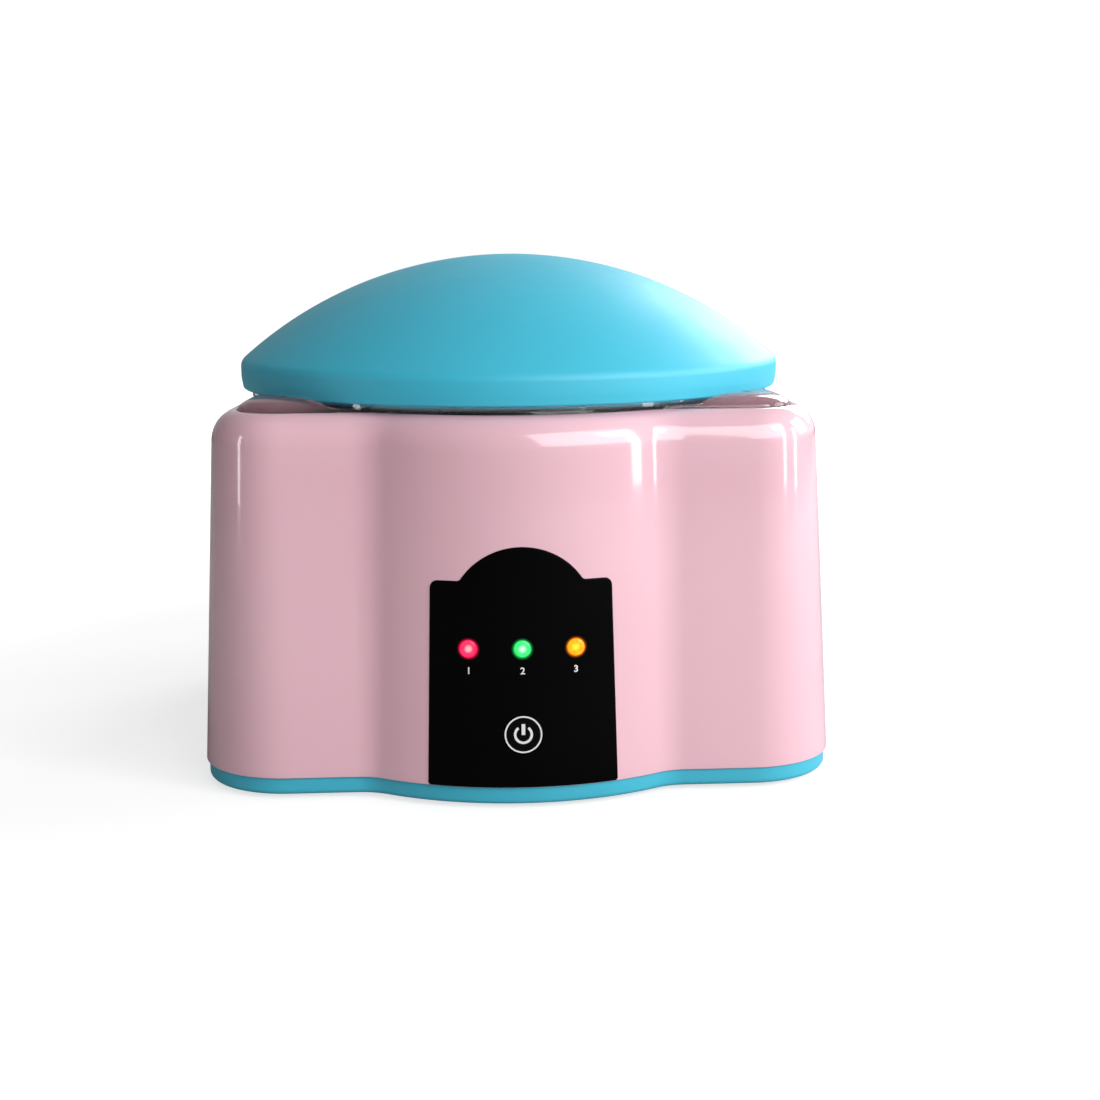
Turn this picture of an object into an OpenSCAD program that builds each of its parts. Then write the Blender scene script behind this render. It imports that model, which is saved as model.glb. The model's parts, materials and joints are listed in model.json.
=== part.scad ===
// Gel polish remover machine: a heated steam bowl in a lobed housing, under a clear
// cover with a ten-finger tray, closed by a domed lid that lifts off.
// Origin in the middle of the footprint, on the table. The front faces -Y. Millimetres.

/* [Housing outline] */
// Half width of the housing at the seam with the base
body_half_w = 100; // [94:0.5:106]
// How much less deep than wide the side lobes are, from the centre
lobe_back = 11; // [8:0.5:14]
// Corner radius of the side lobes, seen from above
lobe_r = 28; // [22:1:34]
// How far the middle bulge stands out in front of the side lobes
bulge_out = 14; // [11:0.5:17]
// Radius of the middle bulge, seen from above
bulge_r = 82; // [76:1:90]
// Radius that blends the bulge into the lobes
bulge_blend_r = 16; // [10:1:20]
// Depth of the shallow waist in each side
waist_in = 3.5; // [1:0.5:5]
// Lean of the walls from upright, in degrees
wall_draft = 3.2; // [2:0.1:4]
// Level of the housing's flat top
body_top_z = 117.5; // [114:0.5:122]
// Height of the rounding of the top edge
edge_h = 10; // [7:0.5:12]
// Width of the rounding of the top edge
edge_w = 8; // [5:0.5:9]
// Wall thickness of the housing
wall = 2.4; // [2:0.1:3]
// Thickness of the housing's top under the cover
top_wall = 4; // [3.6:0.1:4.6]
// Fall of the deck's underside, from the wall to the middle
ceiling_fall = 5; // [4:0.5:6]

/* [Base] */
// Level of the underside of the base
base_z = 1.4; // [1.2:0.1:3]
// Level of the seam between base and housing
seam_z = 6.9; // [5.5:0.1:7.2]
// How far the base stands back from the housing
base_step = 0.9; // [0.5:0.1:2]
// Thickness of the base's floor
base_floor = 2.5; // [2:0.1:3]
// Radius of the base's lower edge
base_edge_r = 1.6; // [1:0.1:3]
// Thickness of the lip that locates the housing
lip_t = 1.6; // [1.2:0.1:2]
// Height of the lip above the seam
lip_h = 3; // [2:0.5:5]
// Gap between the lip and the housing wall
lip_gap = 0.2; // [0.1:0.05:0.4]
// Radius of a rubber foot
foot_r = 9; // [7:0.5:10]
// Depth of the recess that holds a foot
foot_recess = 1; // [0.6:0.1:1.2]
// Gap round a foot in its recess
foot_gap = 0.15; // [0.1:0.05:0.4]
// Distance of the feet in from the housing's sides
foot_in_x = 50; // [46:1:56]
// Distance of the feet in from the front and back of the lobes
foot_in_y = 21; // [19:1:27]
// Number of cooling slots in the base
vent_count = 7; // [3:1:9]
// Width of a cooling slot
vent_w = 2.4; // [1.5:0.1:3]
// Length of a cooling slot
vent_len = 24; // [14:1:30]
// Spacing of the cooling slots
vent_pitch = 7; // [6:0.5:8]
// Distance of the cooling slots in from the front of the lobes
vent_in = 37; // [31:1:43]

/* [Case screws] */
// Distance of the case screws in from the housing's sides
screw_in_x = 26; // [24:1:30]
// Distance of the case screws in from the front and back of the lobes
screw_in_y = 29; // [26:1:33]
// Radius of the posts that take the case screws
post_r = 4.5; // [4:0.1:5.5]
// Radius of the screw shank
screw_r = 1.5; // [1.2:0.1:1.8]
// Radius of the screw head
screw_head_r = 3.4; // [3:0.1:3.8]
// Height of the screw head
screw_head_h = 1.9; // [1.5:0.1:2.2]
// Depth of the screw in its post
screw_depth = 14; // [10:1:20]
// Gap round a screw shank
screw_gap = 0.06; // [0.05:0.01:0.1]
// Height of the pad round a case screw, above the base's floor
pad_h = 3; // [2:0.5:6]
// Thickness of the ribs that tie the posts to the walls
rib_t = 1.8; // [1.4:0.1:2.4]

/* [Control panel] */
// Half width of the panel at its lower corners
panel_half_low = 28.7; // [26:0.1:30]
// Half width of the panel at its upper corners
panel_half_high = 27.2; // [25:0.1:29]
// Gap between the seam and the panel's lower edge
panel_up = 0.2; // [0.2:0.1:1]
// Height of the panel up to its upper corners
panel_h = 62.3; // [58.6:0.1:64.6]
// Height of the panel's arch above its upper corners
panel_arch_h = 10.2; // [6.6:0.1:12.6]
// Half width of the arch where it leaves the upper edge
panel_arch_half = 18.4; // [15:0.1:21]
// Radius of the panel's upper corners
panel_corner_r = 2.4; // [1.5:0.1:4]
// Radius of the panel's lower corners
panel_foot_r = 0.9; // [0.5:0.1:2]
// Radius of the hollows beside the panel's arch
panel_fillet_r = 1.5; // [0.8:0.1:2]
// Thickness of the panel
panel_t = 1.3; // [1:0.1:1.6]
// How far the panel stands out of the housing
panel_proud = 0.3; // [0.1:0.05:0.5]
// Gap round and behind the panel in its recess
panel_gap = 0.1; // [0.05:0.05:0.2]

/* [Power button] */
// Distance of the power button above the panel's lower edge
button_up = 16.3; // [13.6:0.1:19.6]
// Radius of the power button
button_r = 5.9; // [5:0.1:6.5]
// Gap round the power button
button_gap = 0.09; // [0.06:0.01:0.1]
// How far the button stands out of the panel
button_proud = 0.2; // [0.1:0.1:0.6]
// Travel of the button
button_travel = 0.6; // [0.4:0.1:0.8]
// Radius of the flange that keeps the button in
button_flange_r = 7.4; // [7:0.1:8]
// Thickness of the button's flange
button_flange_t = 1; // [0.8:0.1:1.4]
// Radius of the button's stem
button_stem_r = 2; // [1.8:0.1:2.4]
// Depth of the guide behind the panel face
button_guide = 3.4; // [3.2:0.1:4]
// Radius of the guide
button_guide_r = 9.5; // [9:0.1:10.5]
// Radius of the switch plunger
plunger_r = 1.7; // [1.5:0.1:1.8]
// Height of the switch plunger above the switch
plunger_h = 1; // [0.9:0.1:1.4]
// Depth of the switch plunger inside the switch
plunger_in = 0.8; // [0.6:0.1:1]
// Width of the switch
switch_w = 6.2; // [5.8:0.1:7]
// Height of the switch above its board
switch_h = 3.6; // [3.2:0.1:4.2]

/* [Panel lamps] */
// Distance of the row of lamps above the panel's lower edge
lamp_row = 42.1; // [38.6:0.1:44.6]
// Spacing of the lamps
lamp_pitch = 16; // [14:0.1:18]
// Radius of a lamp
lamp_r = 2.5; // [2:0.1:2.8]
// Length of a lamp from its tip to its flange
lamp_len = 8.2; // [7.6:0.1:8.8]
// Radius of a lamp's flange
lamp_flange_r = 2.9; // [2.9:0.1:3.2]
// Gap round a lamp
lamp_gap = 0.12; // [0.1:0.01:0.15]
// Radius of a lamp's wire
lamp_wire_r = 0.3; // [0.2:0.05:0.4]
// Spacing of a lamp's two wires
lamp_wire_pitch = 2.54; // [2:0.02:2.8]
// Half width of the block that carries the lamps
lamp_block_half = 22; // [21:0.5:23]
// Height of the block that carries the lamps
lamp_block_h = 10; // [8:0.5:12]

/* [Panel board] */
// Depth of the board's front behind the panel face
board_depth = 13.2; // [12.8:0.1:15]
// Half width of the panel board
board_half = 24; // [23:0.5:26]
// Distance from the button down to the board's lower edge
board_low = 12.6; // [11:0.1:13]
// Distance from the button up to the board's upper edge
board_high = 34; // [32:0.1:38]
// Thickness of the circuit boards
board_t = 1.6; // [1:0.1:2]
// Distance of the panel board's screws from the middle
board_screw_x = 19; // [17:0.5:20]
// Drop of the panel board's lower screws below the button
board_screw_low = 8; // [7:0.1:8.5]
// Height of the panel board's upper screws above the button
board_screw_high = 14; // [13:0.1:15]
// Radius of the board screw shanks
small_screw_r = 1.2; // [1:0.05:1.4]
// Radius of the board screw heads
small_head_r = 2.6; // [2.2:0.1:3]
// Height of the board screw heads
small_head_h = 1.6; // [1.2:0.1:2]
// Depth of the board screws in their posts
small_screw_in = 5.5; // [4:0.5:7]
// Radius of the posts that carry the boards
small_post_r = 3; // [2.6:0.1:3.4]

/* [Steam bowl] */
// How far the bowl's rim rests on the housing
rim_ledge = 3.4; // [2.6:0.1:4.4]
// How far the bowl's rim lies inside the outer face of the cover's ring
rim_in = 1.2; // [0.8:0.1:2]
// Gap between the bowl's wall and the housing at the rim
neck_gap = 1; // [0.6:0.1:2]
// How far the bowl draws in towards its floor
bowl_taper = 6; // [4:0.5:9]
// Radius of the rounding of the bowl's floor
bowl_bend_r = 11; // [8:0.5:13]
// Depth of the underside of the bowl's floor below the rim's top
bowl_depth = 36.3; // [32:0.1:40]
// Width of the floor round the well
well_shelf = 29; // [27:0.5:31]
// Depth of the well below the floor
well_depth = 8; // [6:0.5:9]
// Sheet thickness of the bowl
bowl_t = 1.2; // [0.8:0.1:1.4]
// Thickness of the silicone ring under the rim
ring_t = 1; // [0.8:0.1:1.2]
// Gap round the bowl's rim
rim_gap = 0.3; // [0.2:0.1:0.5]

/* [Heater] */
// Distance of the heating disc's edge in from the studs
heater_in = 7; // [6.5:0.5:10]
// Thickness of the heating disc
heater_t = 6; // [5:0.5:8]
// Distance of the clamp studs in from the well's edge
stud_in = 6; // [5:0.5:8]
// Radius of the clamp studs
stud_r = 2; // [1.8:0.1:2.4]
// Length of the clamp studs below the well
stud_len = 13; // [12.5:0.5:16]
// Width of the clamp bar
clamp_w = 12; // [10:0.5:14]
// Thickness of the clamp bar
clamp_t = 2.5; // [2:0.1:3]
// Gap round the studs in the clamp bar
clamp_gap = 0.3; // [0.2:0.05:0.4]
// Radius of a clamp nut across its corners
nut_r = 4.4; // [4:0.1:5]
// Height of a clamp nut
nut_h = 3; // [2.4:0.1:3.4]
// Gap round the studs in the nuts
nut_gap = 0.05; // [0.05:0.01:0.1]
// Radius of the thermostat
thermostat_r = 8; // [7:0.5:9]
// Height of the thermostat
thermostat_h = 7; // [6:0.5:8]
// Distance of the thermostat and fuse out from the well's edge
sensor_out = 12; // [10:0.5:13]
// Length of the thermal fuse
fuse_len = 14; // [11:0.5:16]
// Width and height of the thermal fuse
fuse_w = 5; // [4:0.5:6]

/* [Clear cover] */
// How far the cover's floor, where the lid sits, lies above the housing
cover_step = 0.8; // [0.5:0.1:1.1]
// Thickness of the cover
cover_t = 2; // [1.6:0.1:2.2]
// Gap between the cover's edge and the housing
cover_gap = 0.25; // [0.2:0.05:0.5]
// Height of the raised corners above the cover's floor
crown_h = 3; // [2.3:0.1:3.7]
// Width of the rounded edge of the raised corners
crown_w = 11; // [8:0.5:12]
// Distance of the lid's round step in from the housing's sides
cover_side = 7; // [6:0.1:7.4]
// How far the upright ring lies inside the lid's collar, outer face to outer face
ring_in = 8; // [7:0.1:9]
// Thickness of the upright ring
ring_wall_t = 2; // [1.6:0.1:2.2]
// Height of the upright ring above the floor
ring_wall_h = 4; // [3:0.1:5]
// Distance from the ring's outer face in to the cover's round opening
cover_ledge = 6.1; // [5.4:0.1:6.9]

/* [Finger tray] */
// Thickness of the finger tray
tray_t = 2; // [1.6:0.1:2.4]
// Gap round the tray in the ring
tray_gap = 0.3; // [0.2:0.1:0.5]
// Width of a finger slot
slot_w = 19; // [16:0.5:20]
// Length of a finger slot
slot_len = 35; // [30:0.5:36]
// Width of the rim between a slot and the cover's opening
slot_rim = 2.5; // [1.5:0.1:4]
// Angle between two fingers of a hand, in degrees
slot_step = 31; // [29:0.5:32]

/* [Lid] */
// Gap between the lid's rim and the cover's round step
lid_play = 1.3; // [1:0.1:2]
// Height of the rim's lower edge above the cover's floor
lid_lift = 1.7; // [1.2:0.1:2.7]
// Height of the lid from the rim's lower edge to the top of the dome
lid_h = 43.9; // [40:0.1:48]
// Height of the rim, up to the middle of the shoulder's rounding
rim_h = 7.2; // [6:0.1:9]
// Radius of the shoulder between rim and dome
shoulder_r = 4; // [3:0.5:6]
// How far the rim draws in at its lower edge
rim_taper = 0.5; // [0:0.1:1]
// Wall thickness of the lid
lid_t = 2.4; // [2:0.1:3]
// Thickness of the lid's liner
liner_t = 1.6; // [1.2:0.1:2]
// Gap between the liner and the lid
liner_gap = 0.2; // [0.1:0.05:0.4]
// How far the collar lies inside the lid's rim, outer face to outer face
collar_in = 3.1; // [2.9:0.1:4]
// Thickness of the collar
collar_t = 3; // [2:0.1:3.4]
// Gap between the collar and the cover's floor
collar_gap = 0.2; // [0.1:0.05:0.4]

/* [Power inlet] */
// Level of the power inlet
jack_z = 19.5; // [19:0.5:22]
// Radius of the inlet's pocket in the housing
jack_pocket_r = 7.2; // [6.9:0.1:8]
// Depth of the pocket behind the housing's furthest point
jack_pocket_depth = 2.1; // [1.9:0.1:2.4]
// Wall thickness at the inlet
jack_wall = 3; // [2.6:0.1:3.4]
// Radius of the inlet's flange
jack_flange_r = 6.4; // [6:0.1:6.6]
// Thickness of the inlet's flange
jack_flange_t = 1.4; // [1:0.1:1.8]
// Radius of the inlet's threaded barrel
jack_barrel_r = 4.4; // [4.2:0.1:4.8]
// Gap round the barrel
jack_gap = 0.1; // [0.08:0.01:0.2]
// Radius of the socket that takes the plug
jack_socket_r = 2.85; // [2.8:0.05:3]
// Depth of the socket
jack_socket_depth = 10; // [9.5:0.5:11]
// Length of the barrel
jack_len = 15; // [14:0.5:17]
// Radius of the centre pin
jack_pin_r = 1; // [0.9:0.05:1.1]
// How far the pin's tip lies behind the flange
jack_pin_back = 0.8; // [0.5:0.1:1.5]
// Length of the pin held in the barrel
jack_pin_hold = 3; // [2:0.5:4]
// Radius of the pin's held end
jack_pin_base_r = 1.7; // [1.5:0.05:2]
// How far the pin's held end stands out of the socket's floor
jack_pin_base_h = 0.5; // [0.3:0.1:0.8]
// Gap round the held end of the pin
jack_pin_gap = 0.02; // [0.02:0.01:0.05]
// Radius of the inlet nut across its corners
jack_nut_r = 6.8; // [6.4:0.1:7.2]
// Thickness of the inlet nut
jack_nut_t = 2.2; // [1.8:0.1:3]

/* [Main board] */
// Half width of the main board
main_half = 38; // [36:1:42]
// Front edge of the main board
main_front = -22; // [-26:1:-20]
// Back edge of the main board
main_back = 62; // [60:1:66]
// Level of the main board's underside
main_z = 13; // [12:0.5:16]
// Distance of the board's posts from its edges
main_inset = 5; // [4.5:0.5:6]
// Width of the relay
relay_w = 16; // [14:1:18]
// Length of the relay
relay_len = 20; // [18:1:24]
// Height of the relay
relay_h = 15; // [12:1:18]
// Distance of the relay in from the board's side
relay_in = 8; // [6:1:9]
// Distance of the relay's front from the board's back edge
relay_back = 42; // [38:1:46]
// Radius of the capacitor
cap_r = 6.3; // [5:0.1:7]
// Height of the capacitor
cap_h = 20; // [16:1:24]
// Distance of the capacitor from the board's back edge
cap_back = 18; // [16:1:20]
// Distance of the capacitor and the choke left of the board's middle
mid_in = 2; // [0:1:3]
// Outer radius of the choke
choke_r = 8; // [7:0.5:9]
// Inner radius of the choke
choke_in_r = 3.6; // [3:0.1:4.2]
// Height of the choke
choke_h = 7; // [6:0.5:9]
// Distance of the choke from the board's back edge
choke_back = 40; // [36:1:44]
// Number of fins on the heat sink
fin_count = 6; // [4:1:7]
// Spacing of the fins
fin_pitch = 4; // [3.5:0.1:4.4]
// Thickness of a fin
fin_t = 1.4; // [1:0.1:1.8]
// Height of the heat sink
sink_h = 20; // [14:1:24]
// Length of the heat sink
sink_len = 22; // [18:1:26]
// Distance of the heat sink in from the board's side
sink_in = 5; // [3:1:8]
// Distance of the heat sink's front from the board's back edge
sink_back = 50; // [44:1:54]
// Thickness of the heat sink's floor
sink_floor = 2.5; // [2:0.5:4]
// Number of poles in the terminal block
pole_count = 4; // [2:1:5]
// Spacing of the poles
pole_pitch = 5.08; // [5:0.02:5.2]
// Height of the terminal block
terminal_h = 10; // [8:0.5:12]
// Depth of the terminal block
terminal_w = 8; // [7:0.5:9]
// Distance of the terminal block from the board's front edge
terminal_in = 3; // [2:0.5:6]
// Radius of the wells for the terminal screws
pole_r = 1.7; // [1.4:0.1:2]
// Depth of the wells for the terminal screws
pole_depth = 3; // [2:0.5:5]

/* [Hidden] */
$fn = 96;
eps = 0.01;

lean = tan(wall_draft);
lobe_front = body_half_w - lobe_back;
bulge_front = lobe_front + bulge_out;
foot_x = body_half_w - foot_in_x;
foot_y = lobe_front - foot_in_y;
vent_y = lobe_front - vent_in;
screw_x = body_half_w - screw_in_x;
screw_y = lobe_front - screw_in_y;
panel_low_z = seam_z + panel_up;
panel_corner_z = panel_low_z + panel_h;
panel_arch_z = panel_corner_z + panel_arch_h;
button_z = panel_low_z + button_up;
lamp_z = panel_low_z + lamp_row;
cover_floor_z = body_top_z + cover_step;
crown_z = cover_floor_z + crown_h;
// the round parts, from the lid in to the heater
step_r = body_half_w - cover_side;
lid_r = step_r - lid_play;
collar_r = lid_r - collar_in;
ring_wall_r = collar_r - ring_in;
cover_hole_r = ring_wall_r - cover_ledge;
slot_out = cover_hole_r - slot_rim;
slot_in = slot_out - slot_len;
bowl_rim_r = ring_wall_r - rim_in;
mouth_r = bowl_rim_r - rim_ledge;
bowl_neck_r = mouth_r - neck_gap;
bowl_low_r = bowl_neck_r - bowl_taper;
well_r = bowl_low_r - well_shelf;
stud_x = well_r - stud_in;
heater_r = stud_x - heater_in;
sensor_y = well_r + sensor_out;
side_y = lobe_front - lobe_r;
corner_x = body_half_w - lobe_r;
bulge_y = bulge_front - bulge_r;
blend_dy = lobe_front + bulge_blend_r - bulge_y;
blend_x = sqrt(pow(bulge_r + bulge_blend_r, 2) - pow(blend_dy, 2));
blend_a = atan2(blend_x, blend_dy);
edge_z = body_top_z - edge_h;
top_inset = (edge_z - seam_z) * lean + edge_w;
floor_top = base_z + base_floor;
post_z = floor_top + pad_h;
step_z = cover_floor_z - cover_t;
bowl_floor_z = step_z - bowl_depth;
well_z = bowl_floor_z - well_depth;
heater_z = well_z - heater_t;
clamp_z = heater_z - clamp_t;

// One quarter of the outline from the middle of the front to the middle of a side,
// as [x, distance forward]: bulge, blend, lobe front, lobe corner, waist.
function arc(cx, cy, r, a, b, n) = [for (i = [0:n]) [cx + r * sin(a + (b - a) * i / n),
    cy + r * cos(a + (b - a) * i / n)]];
bulge_n = 8;
quarter = concat(
    arc(0, bulge_y, bulge_r, 0, blend_a, bulge_n),
    [for (i = [1:4]) [blend_x - bulge_blend_r * sin(blend_a * (1 - i / 4)),
        lobe_front + bulge_blend_r * (1 - cos(blend_a * (1 - i / 4)))]],
    arc(corner_x, side_y, lobe_r, 0, 90, 8),
    [for (i = [1:4]) let (y = side_y * (1 - i / 4))
        [body_half_w - waist_in * (0.5 + 0.5 * cos(180 * y / side_y)), y]]);
qn = len(quarter);
// The whole outline, anticlockwise from the middle of the front.
loop = concat(
    [for (i = [0:qn - 1]) [quarter[i][0], -quarter[i][1]]],
    [for (i = [qn - 2:-1:0]) [quarter[i][0], quarter[i][1]]],
    [for (i = [1:qn - 1]) [-quarter[i][0], quarter[i][1]]],
    [for (i = [qn - 2:-1:1]) [-quarter[i][0], -quarter[i][1]]]);
ln = len(loop);
function unit2(v) = v / norm(v);
function out_of(i) = let (t = unit2(loop[(i + 1) % ln] - loop[(i + ln - 1) % ln])) [t[1], -t[0]];
normals = [for (i = [0:ln - 1]) out_of(i)];
// The outline drawn in by d.
function drawn(d) = [for (i = [0:ln - 1]) loop[i] - normals[i] * d];

// A solid through outlines, each level given as [height, how far the outline is drawn in].
// The levels may turn back down or up, so that one chain makes a hollow housing or a tray.
// tips moves the middle of the first and the last face up or down, which makes them conical.
module loft(levels, tips = [0, 0]) {
    m = len(levels);
    top = m * ln;
    pts = [for (l = levels) for (p = drawn(l[1])) [p[0], p[1], l[0]]];
    flat = tips == [0, 0];
    polyhedron(convexity = 8,
        points = flat ? pts : concat(pts, [[0, 0, levels[0][0] + tips[0]], [0, 0, levels[m - 1][0] + tips[1]]]),
        faces = concat(
            flat ? [[for (i = [0:ln - 1]) i], [for (i = [ln - 1:-1:0]) top - ln + i]]
                : concat([for (i = [0:ln - 1]) [i, (i + 1) % ln, top]],
                    [for (i = [0:ln - 1]) [top - ln + (i + 1) % ln, top - ln + i, top + 1]]),
            [for (k = [0:m - 2]) for (i = [0:ln - 1]) let (j = (i + 1) % ln)
                [k * ln + i, (k + 1) * ln + i, (k + 1) * ln + j]],
            [for (k = [0:m - 2]) for (i = [0:ln - 1]) let (j = (i + 1) % ln)
                [k * ln + i, (k + 1) * ln + j, k * ln + j]]));
}
function inset_at(z) = (z - seam_z) * lean;
function edge_levels(n) = [for (i = [0:n]) let (a = 90 * i / n)
    [edge_z + edge_h * sin(a), inset_at(edge_z) + edge_w * (1 - cos(a))]];
// The part of the middle bulge that carries the panel, between two depths behind its face.
module front_band(d0, d1) {
    n = bulge_n;
    low = seam_z - 3;
    high = panel_arch_z + 6;
    function bow(z, d) = let (r = bulge_r - inset_at(z) - d) [for (i = [-n:n])
        let (a = blend_a * i / n) [r * sin(a), -bulge_y - r * cos(a), z]];
    function ring(z) = concat(bow(z, d0), [for (i = [2 * n:-1:0]) bow(z, d1)[i]]);
    m = 4 * n + 2;
    polyhedron(points = concat(ring(low), ring(high)), convexity = 4, faces = concat(
        [for (i = [0:2 * n - 1]) [i, i + 1, m - 2 - i, m - 1 - i]],
        [for (i = [0:2 * n - 1]) [2 * m - 1 - i, 2 * m - 2 - i, m + i + 1, m + i]],
        [for (i = [0:m - 1]) let (j = (i + 1) % m) [i, m + i, m + j]],
        [for (i = [0:m - 1]) let (j = (i + 1) % m) [i, m + j, j]]));
}

module tube(r_out, r_in, h) {
    difference() {
        cylinder(r = r_out, h = h);
        translate([0, 0, -eps]) cylinder(r = r_in, h = h + 2 * eps);
    }
}
// A cylinder along +Y from y0 to y1.
module ycyl(r, y0, y1) {
    translate([0, y0, 0]) rotate([-90, 0, 0]) cylinder(r = r, h = y1 - y0);
}
// A square bar along +Y from y0 to y1.
module square_boss(half, y0, y1) {
    translate([-half, y0, -half]) cube([2 * half, y1 - y0, 2 * half]);
}
// The panel's own frame: its face in the middle of the button, +Y into the housing.
module on_panel() {
    translate([0, -bulge_front + inset_at(button_z), button_z]) rotate([-wall_draft, 0, 0]) children();
}
// Setback of the curved face at x, measured in the panel's frame.
function sag(x) = bulge_r - sqrt(pow(bulge_r, 2) - x * x);
lamp_up = (lamp_z - button_z) / cos(wall_draft);
module at_case_screws() {
    for (x = [-1, 1], y = [-1, 1]) translate([x * screw_x, y * screw_y, 0]) children();
}

// The panel's outline with rounded corners and an arch on top; down carries its foot lower.
module panel_outline(grow, down = 0) {
    arch_r = (pow(panel_arch_half, 2) + pow(panel_arch_z - panel_corner_z, 2))
        / (2 * (panel_arch_z - panel_corner_z));
    arch_c = panel_arch_z - arch_r;
    fillet_z = panel_corner_z + panel_fillet_r;
    fillet_x = sqrt(pow(arch_r + panel_fillet_r, 2) - pow(fillet_z - arch_c, 2));
    touch = atan2(fillet_z - arch_c, fillet_x);
    lower_x = panel_half_low + down * (panel_half_low - panel_half_high) / (panel_corner_z - panel_low_z);
    function turn(cx, cz, r, a, b, n) = [for (i = [0:n]) let (t = a + (b - a) * i / n)
        [cx + r * cos(t), cz + r * sin(t)]];
    half = concat(
        turn(lower_x - panel_foot_r, panel_low_z - down + panel_foot_r, panel_foot_r, -90, 0, 3),
        turn(panel_half_high - panel_corner_r, panel_corner_z - panel_corner_r, panel_corner_r, 0, 90, 4),
        turn(fillet_x, fillet_z, panel_fillet_r, 270, 180 + touch, 3),
        [for (i = [1:8]) let (t = touch + (90 - touch) * i / 9) [arch_r * cos(t), arch_c + arch_r * sin(t)]]);
    offset(delta = grow) polygon(concat(half, [[0, panel_arch_z]],
        [for (i = [len(half) - 1:-1:0]) [-half[i][0], half[i][1]]]));
}
module panel_block(grow, down = 0) {
    translate([0, 2 * wall - lobe_front, 0]) rotate([90, 0, 0]) linear_extrude(height = bulge_out + 4 * wall)
        panel_outline(grow, down);
}

ceiling_z = step_z - top_wall;
module body_shell() {
    color("#e8bccb") difference() {
        union() {
            loft(concat(
                [[ceiling_z, inset_at(edge_z) + wall + edge_w * 0.5],
                    [edge_z + edge_h * 0.3, inset_at(edge_z) + wall + 1],
                    [edge_z - 2, inset_at(edge_z - 2) + wall],
                    [seam_z, wall], [seam_z, 0]],
                edge_levels(5), [[step_z, top_inset]]), [-ceiling_fall, 0]);
            at_case_screws() translate([0, 0, post_z]) cylinder(r = post_r, h = ceiling_z - post_z + 1);
            for (x = [-1, 1], y = [-1, 1]) translate([x * screw_x, y * screw_y, post_z + 20])
                rotate([0, 0, atan2(y, x)]) translate([0, -rib_t / 2, 0])
                    cube([lobe_r - 8, rib_t, edge_z - post_z - 20]);
            on_panel() {
                square_boss(button_guide_r, panel_t + 0.5, button_guide);
                for (x = [-1, 1], z = [-board_screw_low, board_screw_high])
                    translate([x * board_screw_x, 0, z])
                        square_boss(small_post_r, sag(board_screw_x) + panel_t + 0.3, board_depth);
            }
            translate([0, bulge_front - jack_pocket_depth - jack_wall, jack_z])
                square_boss(jack_pocket_r + 2, 0, jack_wall);
        }
        // mouth and seat of the bowl's rim
        translate([0, 0, ceiling_z - ceiling_fall - 1])
            cylinder(r = mouth_r, h = 2 * top_wall + ceiling_fall + 1);
        translate([0, 0, step_z - bowl_t - ring_t]) cylinder(r = bowl_rim_r + rim_gap, h = edge_h);
        // recess of the panel
        intersection() {
            panel_block(panel_gap, 2);
            front_band(-1, panel_t - panel_proud + panel_gap);
        }
        on_panel() {
            ycyl(button_r + button_gap, panel_t, button_guide + 1);
            // square windows in the curved wall, hidden behind the panel
            square_boss(button_r + button_gap + 0.8, -2, panel_t + 0.5);
            translate([-lamp_pitch - lamp_r - 1, -2, lamp_up - lamp_r - 1])
                cube([2 * (lamp_pitch + lamp_r + 1), 11, 2 * (lamp_r + 1)]);
            for (x = [-1, 1], z = [-board_screw_low, board_screw_high])
                translate([x * board_screw_x, 0, z])
                    ycyl(small_screw_r + screw_gap, board_depth - small_screw_in - 1.5, board_depth + 1);
        }
        at_case_screws() translate([0, 0, post_z - 1])
            cylinder(r = screw_r + screw_gap, h = screw_depth + 2);
        translate([0, bulge_front - jack_pocket_depth, jack_z]) {
            ycyl(jack_pocket_r, 0, 10);
            ycyl(jack_barrel_r + jack_gap, -jack_wall - 1, 1);
        }
    }
}

module base_plate() {
    color("#4fbfd8") difference() {
        union() {
            // floor, rim and the lip inside the housing
            loft(concat([for (i = [0:3]) let (a = 90 * i / 3)
                [base_z + base_edge_r * (1 - cos(a)), base_step + base_edge_r * (1 - sin(a))]],
                [[seam_z, base_step], [seam_z, wall + lip_gap],
                    [seam_z + lip_h, wall + lip_gap + lip_h * lean],
                    [seam_z + lip_h, wall + lip_gap + lip_t], [floor_top, wall + lip_gap + lip_t]]));
            at_case_screws() translate([0, 0, base_z + 1]) cylinder(r = post_r + 1.5, h = post_z - base_z - 1);
            at_main_posts() translate([0, 0, base_z + 1]) cylinder(r = small_post_r, h = main_z - base_z - 1);
        }
        for (x = [-1, 1], y = [-1, 1]) translate([x * foot_x, y * foot_y, base_z - 1])
            cylinder(r = foot_r + foot_gap, h = foot_recess + 1);
        at_case_screws() translate([0, 0, base_z - 1]) {
            cylinder(r = screw_head_r + 0.3, h = screw_head_h + 1.3);
            cylinder(r = screw_r + screw_gap, h = 12);
        }
        at_main_posts() translate([0, 0, floor_top + 1]) cylinder(r = small_screw_r + screw_gap, h = 20);
        for (i = [0:vent_count - 1]) translate([(i - (vent_count - 1) / 2) * vent_pitch - vent_w / 2,
            -vent_y - vent_len / 2, base_z - 1]) cube([vent_w, vent_len, base_floor + 2]);
    }
}
module at_main_posts() {
    for (x = [-1, 1], y = [main_front + main_inset, main_back - main_inset])
        translate([x * (main_half - main_inset), y, 0]) children();
}

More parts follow.
